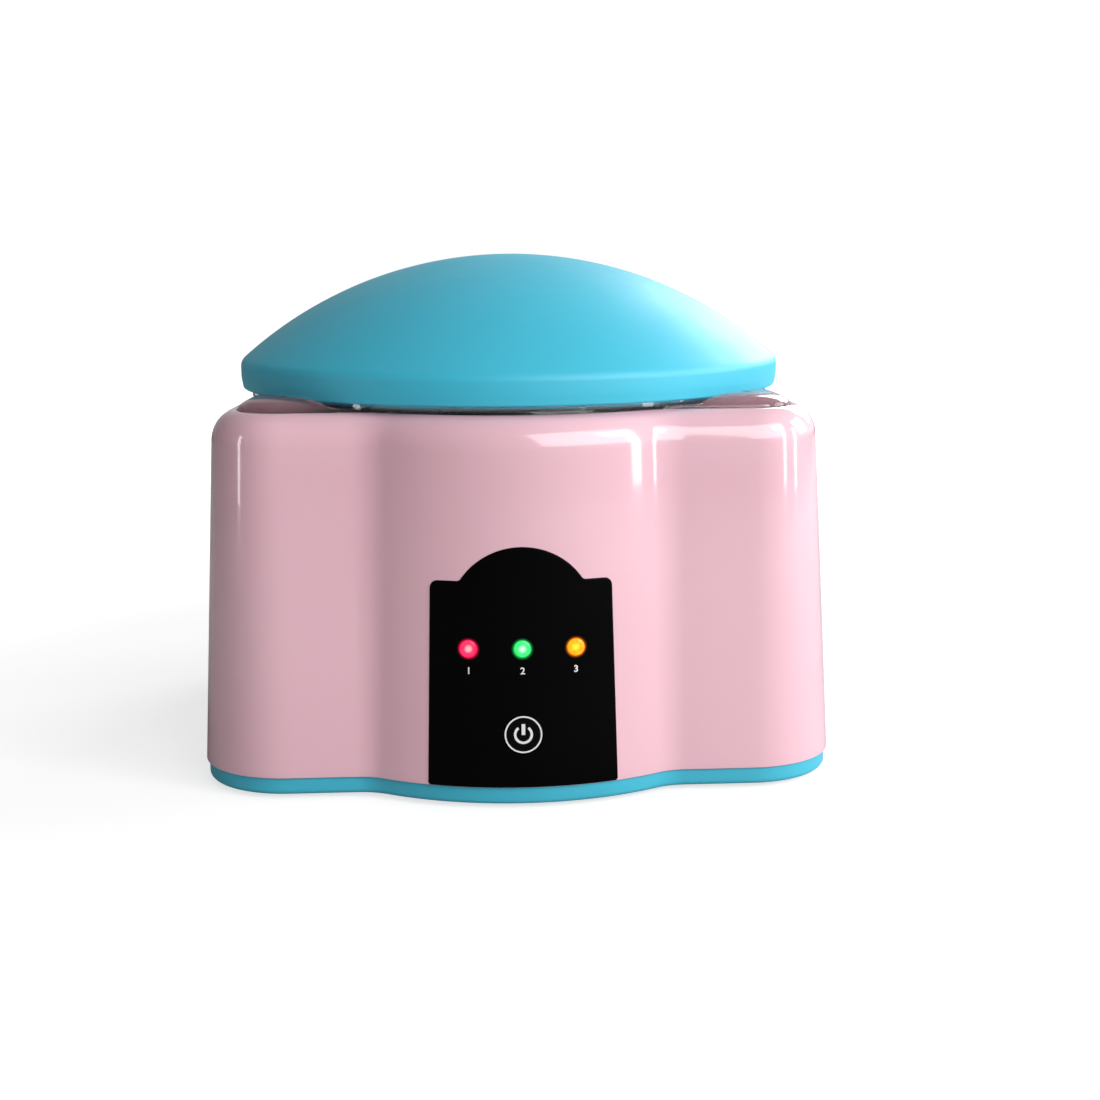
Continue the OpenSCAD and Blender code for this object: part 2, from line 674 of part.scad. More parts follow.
module foot(x, y) {
    color("#2c2c2e") translate([x * foot_x, y * foot_y, 0]) {
        cylinder(r1 = foot_r - 0.8, r2 = foot_r, h = 0.8);
        translate([0, 0, 0.8]) cylinder(r = foot_r, h = base_z + foot_recess - 0.8);
    }
}
module foot_fl() { foot(-1, -1); }
module foot_fr() { foot(1, -1); }
module foot_bl() { foot(-1, 1); }
module foot_br() { foot(1, 1); }

// A screw along +Z with a cross recess in its head.
module screw(r, head_r, head_h, len) {
    difference() {
        union() {
            cylinder(r = head_r, h = head_h);
            cylinder(r = r, h = head_h + len);
        }
        for (a = [0, 90]) rotate([0, 0, a]) translate([-head_r * 0.6, -0.4, -1]) cube([head_r * 1.2, 0.8, 2]);
    }
}
module case_screw(x, y) {
    color("#b9bcc0") translate([x * screw_x, y * screw_y, base_z + 0.3 - eps])
        screw(screw_r, screw_head_r, screw_head_h + eps, post_z - base_z - screw_head_h + screw_depth);
}
module case_screw_fl() { case_screw(-1, -1); }
module case_screw_fr() { case_screw(1, -1); }
module case_screw_bl() { case_screw(-1, 1); }
module case_screw_br() { case_screw(1, 1); }

module control_panel() {
    color("#0b0b0e") difference() {
        intersection() {
            panel_block(0);
            front_band(-panel_proud, panel_t - panel_proud);
        }
        on_panel() {
            ycyl(button_r + button_gap, -3, 6);
            for (i = [-1:1]) translate([i * lamp_pitch, 0, lamp_up]) ycyl(lamp_r + lamp_gap, -3, 6);
        }
    }
}
module power_button() {
    flange_y = button_guide + 0.1;
    color("#111114") on_panel() {
        ycyl(button_r, -panel_proud - button_proud, flange_y + eps);
        ycyl(button_flange_r, flange_y, flange_y + button_flange_t);
        ycyl(button_stem_r, flange_y, board_depth - switch_h - plunger_h);
    }
}
module switch_plunger() {
    color("#2a2a2c") on_panel()
        ycyl(plunger_r, board_depth - switch_h - plunger_h, board_depth - switch_h + plunger_in);
}
module tact_switch() {
    color("#3a3a3e") on_panel() difference() {
        translate([-switch_w / 2, board_depth - switch_h, -switch_w / 2])
            cube([switch_w, switch_h, switch_w]);
        ycyl(plunger_r + button_gap, board_depth - switch_h - 1,
            board_depth - switch_h + plunger_in + button_travel + 0.3);
    }
}
module panel_board() {
    color("#1f6b3a") on_panel() difference() {
        translate([-board_half, board_depth, -board_low]) cube([2 * board_half, board_t, board_low + board_high]);
        for (x = [-1, 1], z = [-board_screw_low, board_screw_high])
            translate([x * board_screw_x, 0, z])
                ycyl(small_screw_r + screw_gap, board_depth - 1, board_depth + board_t + 1);
    }
}
module panel_screw(x, z) {
    color("#b9bcc0") on_panel() translate([x * board_screw_x, board_depth + board_t + small_head_h, z])
        rotate([90, 0, 0]) screw(small_screw_r, small_head_r, small_head_h, board_t + small_screw_in);
}
module panel_screw_1() { panel_screw(-1, -board_screw_low); }
module panel_screw_2() { panel_screw(1, -board_screw_low); }
module panel_screw_3() { panel_screw(-1, board_screw_high); }
module panel_screw_4() { panel_screw(1, board_screw_high); }

module lamp_block() {
    front = sag(lamp_block_half) + wall + 0.6;
    color("#d8d8d4") on_panel() difference() {
        translate([-lamp_block_half, front, lamp_up - lamp_block_h / 2])
            cube([2 * lamp_block_half, board_depth - front, lamp_block_h]);
        for (i = [-1:1]) translate([i * lamp_pitch, 0, lamp_up])
            ycyl(lamp_flange_r + lamp_gap, front - 1, board_depth + 1);
    }
}
module lamp(i) {
    tip = sag(i * lamp_pitch) - panel_proud;
    on_panel() translate([i * lamp_pitch, 0, lamp_up]) {
        translate([0, tip + lamp_r, 0]) sphere(r = lamp_r);
        ycyl(lamp_r, tip + lamp_r, tip + lamp_len);
        ycyl(lamp_flange_r, tip + lamp_len - 1, tip + lamp_len);
        for (s = [-1, 1]) translate([s * lamp_wire_pitch / 2, 0, 0])
            ycyl(lamp_wire_r, tip + lamp_len - eps, board_depth);
    }
}
module lamp_left() { color("#ff2a4d") lamp(-1); }
module lamp_middle() { color("#16e06a") lamp(0); }
module lamp_right() { color("#ffa012") lamp(1); }

// Half section of the bowl from the rim to the well, drawn in by t.
function bowl_side(t) = let (br = bowl_bend_r - t)
    concat([[bowl_neck_r - t, step_z - (t > 0 ? 0 : bowl_t)]],
        [for (i = [0:6]) let (a = 90 * i / 6)
            [bowl_low_r - bowl_bend_r + br * cos(a), bowl_floor_z + bowl_bend_r - br * sin(a)]],
        [[well_r - t, bowl_floor_z + t], [well_r - t - 1.5, well_z + t]]);
module steam_bowl() {
    outside = bowl_side(0);
    inside = bowl_side(bowl_t);
    color("#c9cdd1") {
        rotate_extrude($fn = 128) polygon(concat(
            [[bowl_rim_r, step_z], [bowl_rim_r, step_z - bowl_t]], outside,
            [[0, well_z], [0, well_z + bowl_t]],
            [for (i = [len(inside) - 1:-1:0]) inside[i]]));
        for (s = [-1, 1]) translate([s * stud_x, 0, well_z - stud_len])
            cylinder(r = stud_r, h = stud_len + eps);
    }
}
module bowl_ring() {
    color("#eeeeea") translate([0, 0, step_z - bowl_t - ring_t]) tube(bowl_rim_r, mouth_r + 0.2, ring_t);
}
module heater_disc() {
    color("#9a9ea3") translate([0, 0, heater_z]) cylinder(r = heater_r, h = heater_t);
}
module heater_clamp() {
    half = stud_x + clamp_w / 2;
    color("#aeb2b6") difference() {
        union() {
            translate([-stud_x, -clamp_w / 2, clamp_z]) cube([2 * stud_x, clamp_w, clamp_t]);
            for (s = [-1, 1]) translate([s * stud_x, 0, clamp_z]) cylinder(r = clamp_w / 2, h = clamp_t);
        }
        for (s = [-1, 1]) translate([s * stud_x, 0, clamp_z - 1])
            cylinder(r = stud_r + clamp_gap, h = clamp_t + 2);
    }
}
module clamp_nut(s) {
    color("#b9bcc0") translate([s * stud_x, 0, clamp_z - nut_h]) difference() {
        cylinder(r = nut_r, h = nut_h, $fn = 6);
        translate([0, 0, -1]) cylinder(r = stud_r + nut_gap, h = nut_h + 2);
    }
}
module clamp_nut_l() { clamp_nut(-1); }
module clamp_nut_r() { clamp_nut(1); }
module thermostat() {
    color("#3c3c40") translate([0, -sensor_y, bowl_floor_z - thermostat_h]) {
        cylinder(r = thermostat_r, h = thermostat_h);
        for (s = [-1, 1]) translate([s * 3.6 - 2, -0.4, -6]) cube([4, 0.8, 7]);
    }
}
module thermal_fuse() {
    color("#efe9dc") translate([-fuse_len / 2, sensor_y - fuse_w / 2, bowl_floor_z - fuse_w])
        cube([fuse_len, fuse_w, fuse_w]);
}

module dc_jack() {
    color("#17171a") translate([0, bulge_front - jack_pocket_depth, jack_z]) difference() {
        union() {
            ycyl(jack_flange_r, 0, jack_flange_t);
            ycyl(jack_barrel_r, jack_flange_t - jack_len, eps);
            for (s = [-1, 1]) translate([s * 2.2 - 0.4, jack_flange_t - jack_len - 4, -1.2])
                cube([0.8, 4.5, 2.4]);
        }
        ycyl(jack_socket_r, jack_flange_t - jack_socket_depth, jack_flange_t + 1);
        ycyl(jack_pin_base_r + jack_pin_gap, jack_flange_t - jack_socket_depth - jack_pin_hold,
            jack_flange_t);
    }
}
module jack_pin() {
    floor_y = jack_flange_t - jack_socket_depth;
    color("#d5cfa8") translate([0, bulge_front - jack_pocket_depth, jack_z]) {
        ycyl(jack_pin_base_r, floor_y - jack_pin_hold, floor_y + jack_pin_base_h);
        ycyl(jack_pin_r, floor_y, jack_flange_t - jack_pin_back);
    }
}
module jack_nut() {
    color("#b9bcc0") translate([0, bulge_front - jack_pocket_depth - jack_wall, jack_z])
        rotate([90, 0, 0]) difference() {
            cylinder(r = jack_nut_r, h = jack_nut_t, $fn = 6);
            translate([0, 0, -1]) cylinder(r = jack_barrel_r + 0.05, h = jack_nut_t + 2);
        }
}

module main_board() {
    color("#1f6b3a") difference() {
        translate([-main_half, main_front, main_z]) cube([2 * main_half, main_back - main_front, board_t]);
        at_main_posts() translate([0, 0, main_z - 1]) cylinder(r = small_screw_r + screw_gap, h = board_t + 2);
    }
}
module board_screw(x, y) {
    color("#b9bcc0") translate([x * (main_half - main_inset), y, main_z + board_t + small_head_h])
        mirror([0, 0, 1]) screw(small_screw_r, small_head_r, small_head_h, board_t + small_screw_in);
}
module board_screw_1() { board_screw(-1, main_front + main_inset); }
module board_screw_2() { board_screw(1, main_front + main_inset); }
module board_screw_3() { board_screw(-1, main_back - main_inset); }
module board_screw_4() { board_screw(1, main_back - main_inset); }
board_top = main_z + board_t;
module relay() {
    color("#1d4f9c") translate([relay_in - main_half, main_back - relay_back, board_top]) cube([relay_w, relay_len, relay_h]);
}
module capacitor() {
    color("#23232a") translate([-mid_in, main_back - cap_back, board_top]) cylinder(r = cap_r, h = cap_h);
}
module choke() {
    color("#7a4a22") translate([-mid_in, main_back - choke_back, board_top]) tube(choke_r, choke_in_r, choke_h);
}
module heat_sink() {
    span = (fin_count - 1) * fin_pitch + fin_t;
    color("#8f9397") translate([main_half - sink_in - span, main_back - sink_back, board_top]) {
        cube([span, sink_len, sink_floor]);
        for (i = [0:fin_count - 1]) translate([i * fin_pitch, 0, 0]) cube([fin_t, sink_len, sink_h]);
    }
}
module terminal_block() {
    span = pole_count * pole_pitch;
    color("#2f8f5b") translate([-span / 2, main_front + terminal_in, board_top]) difference() {
        cube([span, terminal_w, terminal_h]);
        for (i = [0:pole_count - 1]) translate([(i + 0.5) * pole_pitch, terminal_w / 2, terminal_h - pole_depth])
            cylinder(r = pole_r, h = pole_depth + 1);
    }
}

module clear_cover() {
    inset = top_inset + cover_gap;
    rise = crown_z - body_top_z;
    color("#cfe3ea", 0.45) {
        difference() {
            union() {
                loft([[step_z, inset], [body_top_z, inset], [cover_floor_z, inset + 0.3]]);
                // raised corners, outside the round step for the lid
                difference() {
                    loft(concat([[cover_floor_z - 0.5, inset + 0.15]],
                        [for (i = [1:5]) let (a = 12 + 78 * i / 5)
                            [body_top_z + rise * sin(a), inset + crown_w * (1 - cos(a))]]));
                    translate([0, 0, step_z - 1]) cylinder(r = step_r, h = 12);
                }
            }
            translate([0, 0, step_z - 1]) cylinder(r = cover_hole_r, h = 10);
        }
        translate([0, 0, cover_floor_z - eps]) tube(ring_wall_r, ring_wall_r - ring_wall_t, ring_wall_h);
    }
}
slot_angles = [for (s = [0, 180]) for (i = [-2:2]) s + i * slot_step];
module finger_tray() {
    color("#f3f4f2") translate([0, 0, cover_floor_z]) difference() {
        cylinder(r = ring_wall_r - ring_wall_t - tray_gap, h = tray_t);
        for (a = slot_angles) rotate([0, 0, a]) translate([0, 0, -1]) {
            translate([slot_in + slot_w / 2, -slot_w / 2, 0])
                cube([slot_out - slot_in - slot_w, slot_w, tray_t + 2]);
            for (x = [slot_in + slot_w / 2, slot_out - slot_w / 2])
                translate([x, 0, 0]) cylinder(r = slot_w / 2, h = tray_t + 2);
        }
    }
}

lid_low_z = cover_floor_z + lid_lift;
lid_top_z = lid_low_z + lid_h;
// the dome's radius, from the top of the dome and the shoulder at the rim
dome_rise = lid_h - rim_h;
dome_r = (pow(lid_r - shoulder_r, 2) + pow(dome_rise, 2) - pow(shoulder_r, 2)) / (2 * (dome_rise - shoulder_r));
dome_z = lid_top_z - dome_r;
// Shoulder and dome of the lid from the rim to the middle, drawn in by t.
function dome_side(t) = let (
        cr = lid_r - shoulder_r,
        cz = dome_z + sqrt(pow(dome_r - shoulder_r, 2) - pow(cr, 2)),
        a1 = atan2(cz - dome_z, cr), r = shoulder_r - t, n = 5, m = 16)
    concat([for (i = [0:n]) let (a = a1 * i / n) [cr + r * cos(a), cz + r * sin(a)]],
        [for (i = [1:m]) let (a = a1 + (90 - a1) * i / m)
            [(dome_r - t) * cos(a), dome_z + (dome_r - t) * sin(a)]]);
module lid_shell() {
    inside = dome_side(lid_t);
    color("#4fbfd8") rotate_extrude($fn = 160) polygon(concat(
        [[lid_r - rim_taper - 0.8, lid_low_z], [lid_r - rim_taper, lid_low_z + 0.8], [lid_r, lid_low_z + 4]],
        dome_side(0), [for (i = [len(inside) - 1:-1:0]) inside[i]],
        [[lid_r - lid_t, lid_low_z + 4], [lid_r - rim_taper - lid_t, lid_low_z]]));
}
module lid_liner() {
    low = cover_floor_z + collar_gap;
    t0 = lid_t + liner_gap;
    // keep only the part of the dome inside the collar
    span = [for (p = dome_side(t0)) if (p[0] < collar_r - 1) p];
    under = [for (p = dome_side(t0 + liner_t)) if (p[0] < collar_r - collar_t - 1) p];
    z_out = dome_z + sqrt(pow(dome_r - t0, 2) - pow(collar_r, 2));
    z_in = dome_z + sqrt(pow(dome_r - t0 - liner_t, 2) - pow(collar_r - collar_t, 2));
    color("#46b4d0") rotate_extrude($fn = 160) polygon(concat(
        [[collar_r - collar_t, low], [collar_r, low], [collar_r, z_out]], span,
        [for (i = [len(under) - 1:-1:0]) under[i]], [[collar_r - collar_t, z_in]]));
}

body_shell();
base_plate();
foot_fl();
foot_fr();
foot_bl();
foot_br();
case_screw_fl();
case_screw_fr();
case_screw_bl();
case_screw_br();
control_panel();
power_button();
switch_plunger();
tact_switch();
panel_board();
panel_screw_1();
panel_screw_2();
panel_screw_3();
panel_screw_4();
lamp_block();
lamp_left();
lamp_middle();
lamp_right();
steam_bowl();
bowl_ring();
heater_disc();
heater_clamp();
clamp_nut_l();
clamp_nut_r();
thermostat();
thermal_fuse();
dc_jack();
jack_pin();
jack_nut();
main_board();
board_screw_1();
board_screw_2();
board_screw_3();
board_screw_4();
relay();
capacitor();
choke();
heat_sink();
terminal_block();
clear_cover();
finger_tray();
lid_shell();
lid_liner();
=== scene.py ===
import json
import math
import bpy
import bmesh
from mathutils import Matrix, Vector
from mathutils.geometry import delaunay_2d_cdt


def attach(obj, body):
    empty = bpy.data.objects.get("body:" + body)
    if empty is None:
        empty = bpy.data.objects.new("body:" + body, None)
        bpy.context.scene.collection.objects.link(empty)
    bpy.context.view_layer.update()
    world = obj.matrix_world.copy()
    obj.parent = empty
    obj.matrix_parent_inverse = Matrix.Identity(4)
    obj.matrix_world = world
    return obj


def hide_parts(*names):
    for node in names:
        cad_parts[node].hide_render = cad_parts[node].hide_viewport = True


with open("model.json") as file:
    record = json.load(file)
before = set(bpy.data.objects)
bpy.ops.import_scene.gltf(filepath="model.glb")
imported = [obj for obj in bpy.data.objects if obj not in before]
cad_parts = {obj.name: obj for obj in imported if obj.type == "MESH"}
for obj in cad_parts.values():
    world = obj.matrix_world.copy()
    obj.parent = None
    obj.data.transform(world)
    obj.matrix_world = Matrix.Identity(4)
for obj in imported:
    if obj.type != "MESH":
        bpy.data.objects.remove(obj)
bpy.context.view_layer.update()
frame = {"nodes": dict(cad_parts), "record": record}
cadNodes = frame["nodes"]
mm = 0.001
print("frame loaded with", len(cadNodes), "nodes")


def linear(red, green, blue):
    # a screen colour, 0 to 255, as the shader wants it
    def one(c):
        c = c / 255
        return c / 12.92 if c <= 0.04045 else ((c + 0.055) / 1.055) ** 2.4
    return (one(red), one(green), one(blue), 1.0)


# the housing seen from above and from the side, in mm
outline = {
    "halfWidth": 100.0,
    "lobeFront": 89.0,
    "lobeRadius": 28.0,
    "bulgeFront": 103.0,
    "bulgeRadius": 82.0,
    "blendRadius": 16.0,
    "waist": 3.5,
    "draft": math.radians(3.2),
    "seam": 6.9,
    "top": 117.5,
    "edgeHeight": 10.0,
    "edgeWidth": 8.0,
    "wall": 2.4,
    "bulgeSteps": 30,
    "blendSteps": 12,
    "frontSteps": 7,
    "lobeSteps": 24,
    "sideSteps": 16,
}
bulgeY = outline["bulgeFront"] - outline["bulgeRadius"]
blendDrop = outline["lobeFront"] + outline["blendRadius"] - bulgeY
blendX = math.sqrt((outline["bulgeRadius"] + outline["blendRadius"]) ** 2 - blendDrop ** 2)
blendAngle = math.atan2(blendX, blendDrop)
edgeStart = outline["top"] - outline["edgeHeight"]


def insetAt(z):
    return (z - outline["seam"]) * math.tan(outline["draft"])


topInset = insetAt(edgeStart) + outline["edgeWidth"]


def quarterOutline():
    # from the middle of the front round to the middle of a side: x, distance forward, normal
    o = outline
    points = []
    r = o["bulgeRadius"]
    for i in range(o["bulgeSteps"] + 1):
        a = blendAngle * i / o["bulgeSteps"]
        points.append((r * math.sin(a), bulgeY + r * math.cos(a), math.sin(a), math.cos(a)))
    r = o["blendRadius"]
    for i in range(1, o["blendSteps"] + 1):
        a = blendAngle * (1 - i / o["blendSteps"])
        y = o["lobeFront"] + r * (1 - math.cos(a))
        points.append((blendX - r * math.sin(a), y, math.sin(a), math.cos(a)))
    cornerX = o["halfWidth"] - o["lobeRadius"]
    sideY = o["lobeFront"] - o["lobeRadius"]
    for i in range(1, o["frontSteps"]):
        points.append((blendX + (cornerX - blendX) * i / o["frontSteps"], o["lobeFront"], 0.0, 1.0))
    r = o["lobeRadius"]
    for i in range(o["lobeSteps"] + 1):
        a = math.pi / 2 * i / o["lobeSteps"]
        points.append((cornerX + r * math.sin(a), sideY + r * math.cos(a), math.sin(a), math.cos(a)))
    for i in range(1, o["sideSteps"] + 1):
        y = sideY * (1 - i / o["sideSteps"])
        x = o["halfWidth"] - o["waist"] * (0.5 + 0.5 * math.cos(math.pi * y / sideY))
        slope = o["waist"] * 0.5 * math.sin(math.pi * y / sideY) * math.pi / sideY
        size = math.hypot(1, slope)
        points.append((x, y, 1 / size, -slope / size))
    return points


def wholeOutline():
    q = quarterOutline()
    ring = [(x, -y, nx, -ny) for x, y, nx, ny in q]
    ring += [(x, y, nx, ny) for x, y, nx, ny in reversed(q[:-1])]
    ring += [(-x, y, -nx, ny) for x, y, nx, ny in q[1:]]
    ring += [(-x, -y, -nx, -ny) for x, y, nx, ny in list(reversed(q[:-1]))[:-1]]
    return ring


loop = wholeOutline()


def drawnIn(distance):
    return [(x - nx * distance, y - ny * distance) for x, y, nx, ny in loop]


def level(z, distance):
    return [(x, y, z) for x, y in drawnIn(distance)]


def circleLevel(z, radius):
    # a round level whose points stand beside those of the outline
    ring = []
    for x, y in drawnIn(topInset):
        size = math.hypot(x, y)
        ring.append((x / size * radius, y / size * radius, z))
    return ring


def frontPoint(x, z, depth, side=-1):
    # a point on the middle bulge, at a depth behind its face; side 1 is the back
    r = outline["bulgeRadius"] - insetAt(z) - depth
    return (x, side * (bulgeY + math.sqrt(r * r - x * x)), z)


def frontNormal(x, z, side=-1):
    s = x / (outline["bulgeRadius"] - insetAt(z))
    return Vector((s, side * math.sqrt(1 - s * s), math.tan(outline["draft"]))).normalized()


def smoothBulge(piece, side, halfWidth, low, high):
    # a filled patch on the bulge takes the bulge's true normals, so that its gloss runs clean
    mesh = piece.data
    normals = [Vector((0, 0, 0))] * len(mesh.loops)
    for poly in mesh.polygons:
        x, y, z = (c / mm for c in poly.center)
        if y * side < 0 or abs(x) > halfWidth or not low < z < high:
            continue
        if poly.normal.dot(frontNormal(x, z, side)) > 0.995:
            for index in poly.loop_indices:
                co = mesh.vertices[mesh.loops[index].vertex_index].co / mm
                normals[index] = frontNormal(co.x, co.z, side)
    mesh.normals_split_custom_set(normals)


def shade(mesh, limit):
    # smooth faces, with a crease wherever two faces meet at more than the limit
    work = bmesh.new()
    work.from_mesh(mesh)
    for face in work.faces:
        face.smooth = True
    for edge in work.edges:
        if len(edge.link_faces) == 2:
            edge.smooth = edge.calc_face_angle(0) < math.radians(limit)
    work.to_mesh(mesh)
    work.free()


def addPiece(name, points, faces, material, body, replaced=(), crease=35, matrix=None):
    mesh = bpy.data.meshes.new(name)
    mesh.from_pydata([tuple(c * mm for c in p) for p in points], [], faces)
    work = bmesh.new()
    work.from_mesh(mesh)
    bmesh.ops.remove_doubles(work, verts=work.verts, dist=0.000004)
    bmesh.ops.dissolve_degenerate(work, edges=work.edges, dist=0.000003)
    bmesh.ops.recalc_face_normals(work, faces=work.faces)
    work.to_mesh(mesh)
    work.free()
    if matrix is not None:
        mesh.transform(matrix)
    shade(mesh, crease)
    mesh.materials.append(material)
    piece = bpy.data.objects.new(name, mesh)
    bpy.context.collection.objects.link(piece)
    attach(piece, body)
    if replaced:
        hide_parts(*replaced)
    return piece


def extend(points, faces, morePoints, moreFaces, flip=False):
    # a patch joins a growing piece; flip turns its faces over
    start = len(points)
    points += morePoints
    faces += [tuple(start + i for i in (reversed(f) if flip else f)) for f in moreFaces]


def band(rings, closed=False):
    # quads between rings of the same length; closed joins the last ring to the first
    count = len(rings[0])
    points = [p for ring in rings for p in ring]
    faces = []
    for k in range(len(rings) if closed else len(rings) - 1):
        below, above = k * count, (k + 1) % len(rings) * count
        for i in range(count):
            j = (i + 1) % count
            faces.append((below + i, below + j, above + j, above + i))
    return points, faces


def lathe(profile, segments=180):
    # a profile of (radius, height) turned about Z; a radius of 0 closes it
    points, faces, rows = [], [], []
    for r, z in profile:
        if r < 1e-6:
            rows.append([len(points)])
            points.append((0.0, 0.0, z))
        else:
            rows.append(list(range(len(points), len(points) + segments)))
            for i in range(segments):
                a = 2 * math.pi * i / segments
                points.append((r * math.cos(a), r * math.sin(a), z))
    for below, above in zip(rows, rows[1:]):
        for i in range(segments):
            j = (i + 1) % segments
            if len(below) == 1 and len(above) == 1:
                continue
            if len(below) == 1:
                faces.append((below[0], above[j], above[i]))
            elif len(above) == 1:
                faces.append((below[i], below[j], above[0]))
            else:
                faces.append((below[i], below[j], above[j], above[i]))
    return points, faces


def rounded(cx, cz, r, start, end, steps):
    angles = [math.radians(start + (end - start) * i / steps) for i in range(steps + 1)]
    return [(cx + r * math.cos(a), cz + r * math.sin(a)) for a in angles]


def softEdge(radius, low, width, height, step):
    # a quarter ellipse that rounds the front of a turned piece
    angles = [math.radians(a) for a in range(0, 91, step)]
    return [(radius - width + width * math.sin(a), low + height * (1 - math.cos(a))) for a in angles]


def inside(x, z, polygon):
    hit = False
    for (x1, z1), (x2, z2) in zip(polygon, polygon[1:] + polygon[:1]):
        if (z1 > z) != (z2 > z) and x < (x2 - x1) * (z - z1) / (z2 - z1) + x1:
            hit = not hit
    return hit


def sheetFill(outer, holes, spacing):
    # triangles for a flat shape with holes, with extra points inside so that it can be bent
    points = [Vector(p) for p in outer]
    edges = [(i, (i + 1) % len(outer)) for i in range(len(outer))]
    for hole in holes:
        start = len(points)
        points += [Vector(p) for p in hole]
        edges += [(start + i, start + (i + 1) % len(hole)) for i in range(len(hole))]
    rim = list(points)
    if spacing:
        xs = [p[0] for p in outer]
        zs = [p[1] for p in outer]
        row, z = 0, min(zs) + spacing * 0.5
        while z < max(zs):
            x = min(xs) + spacing * (0.5 if row % 2 else 1.0)
            while x < max(xs):
                if inside(x, z, outer) and not any(inside(x, z, h) for h in holes):
                    if min((p.x - x) ** 2 + (p.y - z) ** 2 for p in rim) > (spacing * 0.6) ** 2:
                        points.append(Vector((x, z)))
                x += spacing
            row += 1
            z += spacing * 0.866
    made, _, tris, *_ = delaunay_2d_cdt(points, edges, [], 0, 1e-7)
    kept = []
    for t in tris:
        a, b, c = (made[i] for i in t)
        sliver = abs((b - a).cross(c - a)) < 0.004   # three points of one straight edge
        cx, cz = (a + b + c) / 3
        if not sliver and inside(cx, cz, outer) and not any(inside(cx, cz, h) for h in holes):
            kept.append(tuple(t))
    return [(p.x, p.y) for p in made], kept


def circlePoints(cx, cz, r, count):
    angles = [2 * math.pi * i / count for i in range(count)]
    return [(cx + r * math.cos(a), cz + r * math.sin(a)) for a in angles]


def newMaterial(name):
    material = bpy.data.materials.new(name)
    material.use_nodes = True
    tree = material.node_tree
    return material, tree, tree.nodes["Principled BSDF"]


def feed(tree, node, inputs):
    # each socket takes a value, or the output of another node
    for socket, value in inputs.items():
        if isinstance(value, bpy.types.NodeSocket):
            tree.links.new(value, node.inputs[socket])
        else:
            node.inputs[socket].default_value = value


def addNode(tree, kind, inputs, **settings):
    node = tree.nodes.new("ShaderNode" + kind)
    for key, value in settings.items():
        setattr(node, key, value)
    feed(tree, node, inputs)
    return node


def objectPlace(tree):
    # where a point lies, in the object's own metres
    return addNode(tree, "TexCoord", {}).outputs["Object"]


def noise(tree, scale, detail=3.0, rough=0.5, stretch=(1, 1, 1)):
    mapping = addNode(tree, "Mapping", {"Vector": objectPlace(tree), "Scale": stretch})
    texture = addNode(tree, "TexNoise", {
        "Vector": mapping.outputs["Vector"], "Scale": scale, "Detail": detail, "Roughness": rough})
    return texture.outputs["Fac"]


def ramp(tree, source, stops):
    node = tree.nodes.new("ShaderNodeValToRGB")
    while len(node.color_ramp.elements) < len(stops):
        node.color_ramp.elements.new(0.5)
    for element, (place, colour) in zip(node.color_ramp.elements, stops):
        element.position = place
        element.color = colour
    tree.links.new(source, node.inputs["Fac"])
    return node.outputs["Color"]


def spread(tree, source, low, high, fromLow=0.3, fromHigh=0.7):
    node = addNode(tree, "MapRange", {
        "Value": source, "From Min": fromLow, "From Max": fromHigh, "To Min": low, "To Max": high})
    return node.outputs["Result"]


def tint(tree, shader, source, tones, low=0.3, high=0.7):
    # the colour drifts between two tones
    colour = ramp(tree, source, [(low, linear(*tones[0])), (high, linear(*tones[1]))])
    feed(tree, shader, {"Base Color": colour})


def bumps(tree, shader, layers):
    # bump layers of (height source, strength, distance in metres), one feeding the next
    below = {}
    for source, strength, distance in layers:
        node = addNode(tree, "Bump", {"Strength": strength, "Distance": distance, "Height": source, **below})
        below = {"Normal": node.outputs["Normal"]}
    feed(tree, shader, below)


def mouldedPlastic(spec):
    # tones drift slowly over the part, the gloss is uneven and the skin has a fine grain
    material, tree, shader = newMaterial(spec["name"])
    tint(tree, shader, noise(tree, spec.get("driftScale", 14), 2), spec["tones"], 0.32, 0.68)
    smear = noise(tree, 60, 5, 0.6)
    wave = noise(tree, spec.get("waveScale", 90), 1)
    grain = noise(tree, spec["grainScale"], 2)
    feed(tree, shader, {
        "Roughness": spread(tree, smear, *spec["roughness"]),
        "Specular IOR Level": spec.get("shine", 0.5),
        "Coat Weight": spec.get("coat", 0.0),
        "Coat Roughness": spec.get("coatRoughness", 0.03),
        "Subsurface Weight": spec.get("soft", 0.0),
        "Subsurface Radius": (0.004, 0.003, 0.003),
        "IOR": 1.5,
    })
    bumps(tree, shader, [(wave, spec.get("wave", 0.05), 0.0004), (grain, spec["grain"], 0.00006)])
    return material


def brushedMetal(spec):
    material, tree, shader = newMaterial(spec["name"])
    brushed = noise(tree, spec["brushScale"], 4, 0.7, spec["stretch"])
    tint(tree, shader, brushed, spec["tones"])
    smear = noise(tree, spec["brushScale"] * 0.4, 3)
    feed(tree, shader, {"Roughness": spread(tree, smear, *spec["roughness"]), "Metallic": 1.0})
    bumps(tree, shader, [(brushed, spec["brush"], 0.00004)])
    return material


def spunMetal(spec):
    # fine rings about the axis, as a lathe leaves them, over a slow cloudiness
    material, tree, shader = newMaterial(spec["name"])
    sockets = {"Vector": objectPlace(tree), "Scale": spec["ringScale"], "Distortion": spec["waver"],
               "Detail": 3.0}
    rings = addNode(tree, "TexWave", sockets, wave_type="RINGS", rings_direction="Z").outputs["Fac"]
    tint(tree, shader, noise(tree, spec["cloudScale"], 2), spec["tones"])
    feed(tree, shader, {"Roughness": spread(tree, rings, *spec["roughness"], 0, 1), "Metallic": 1.0})
    bumps(tree, shader, [(rings, spec["brush"], 0.00003)])
    return material


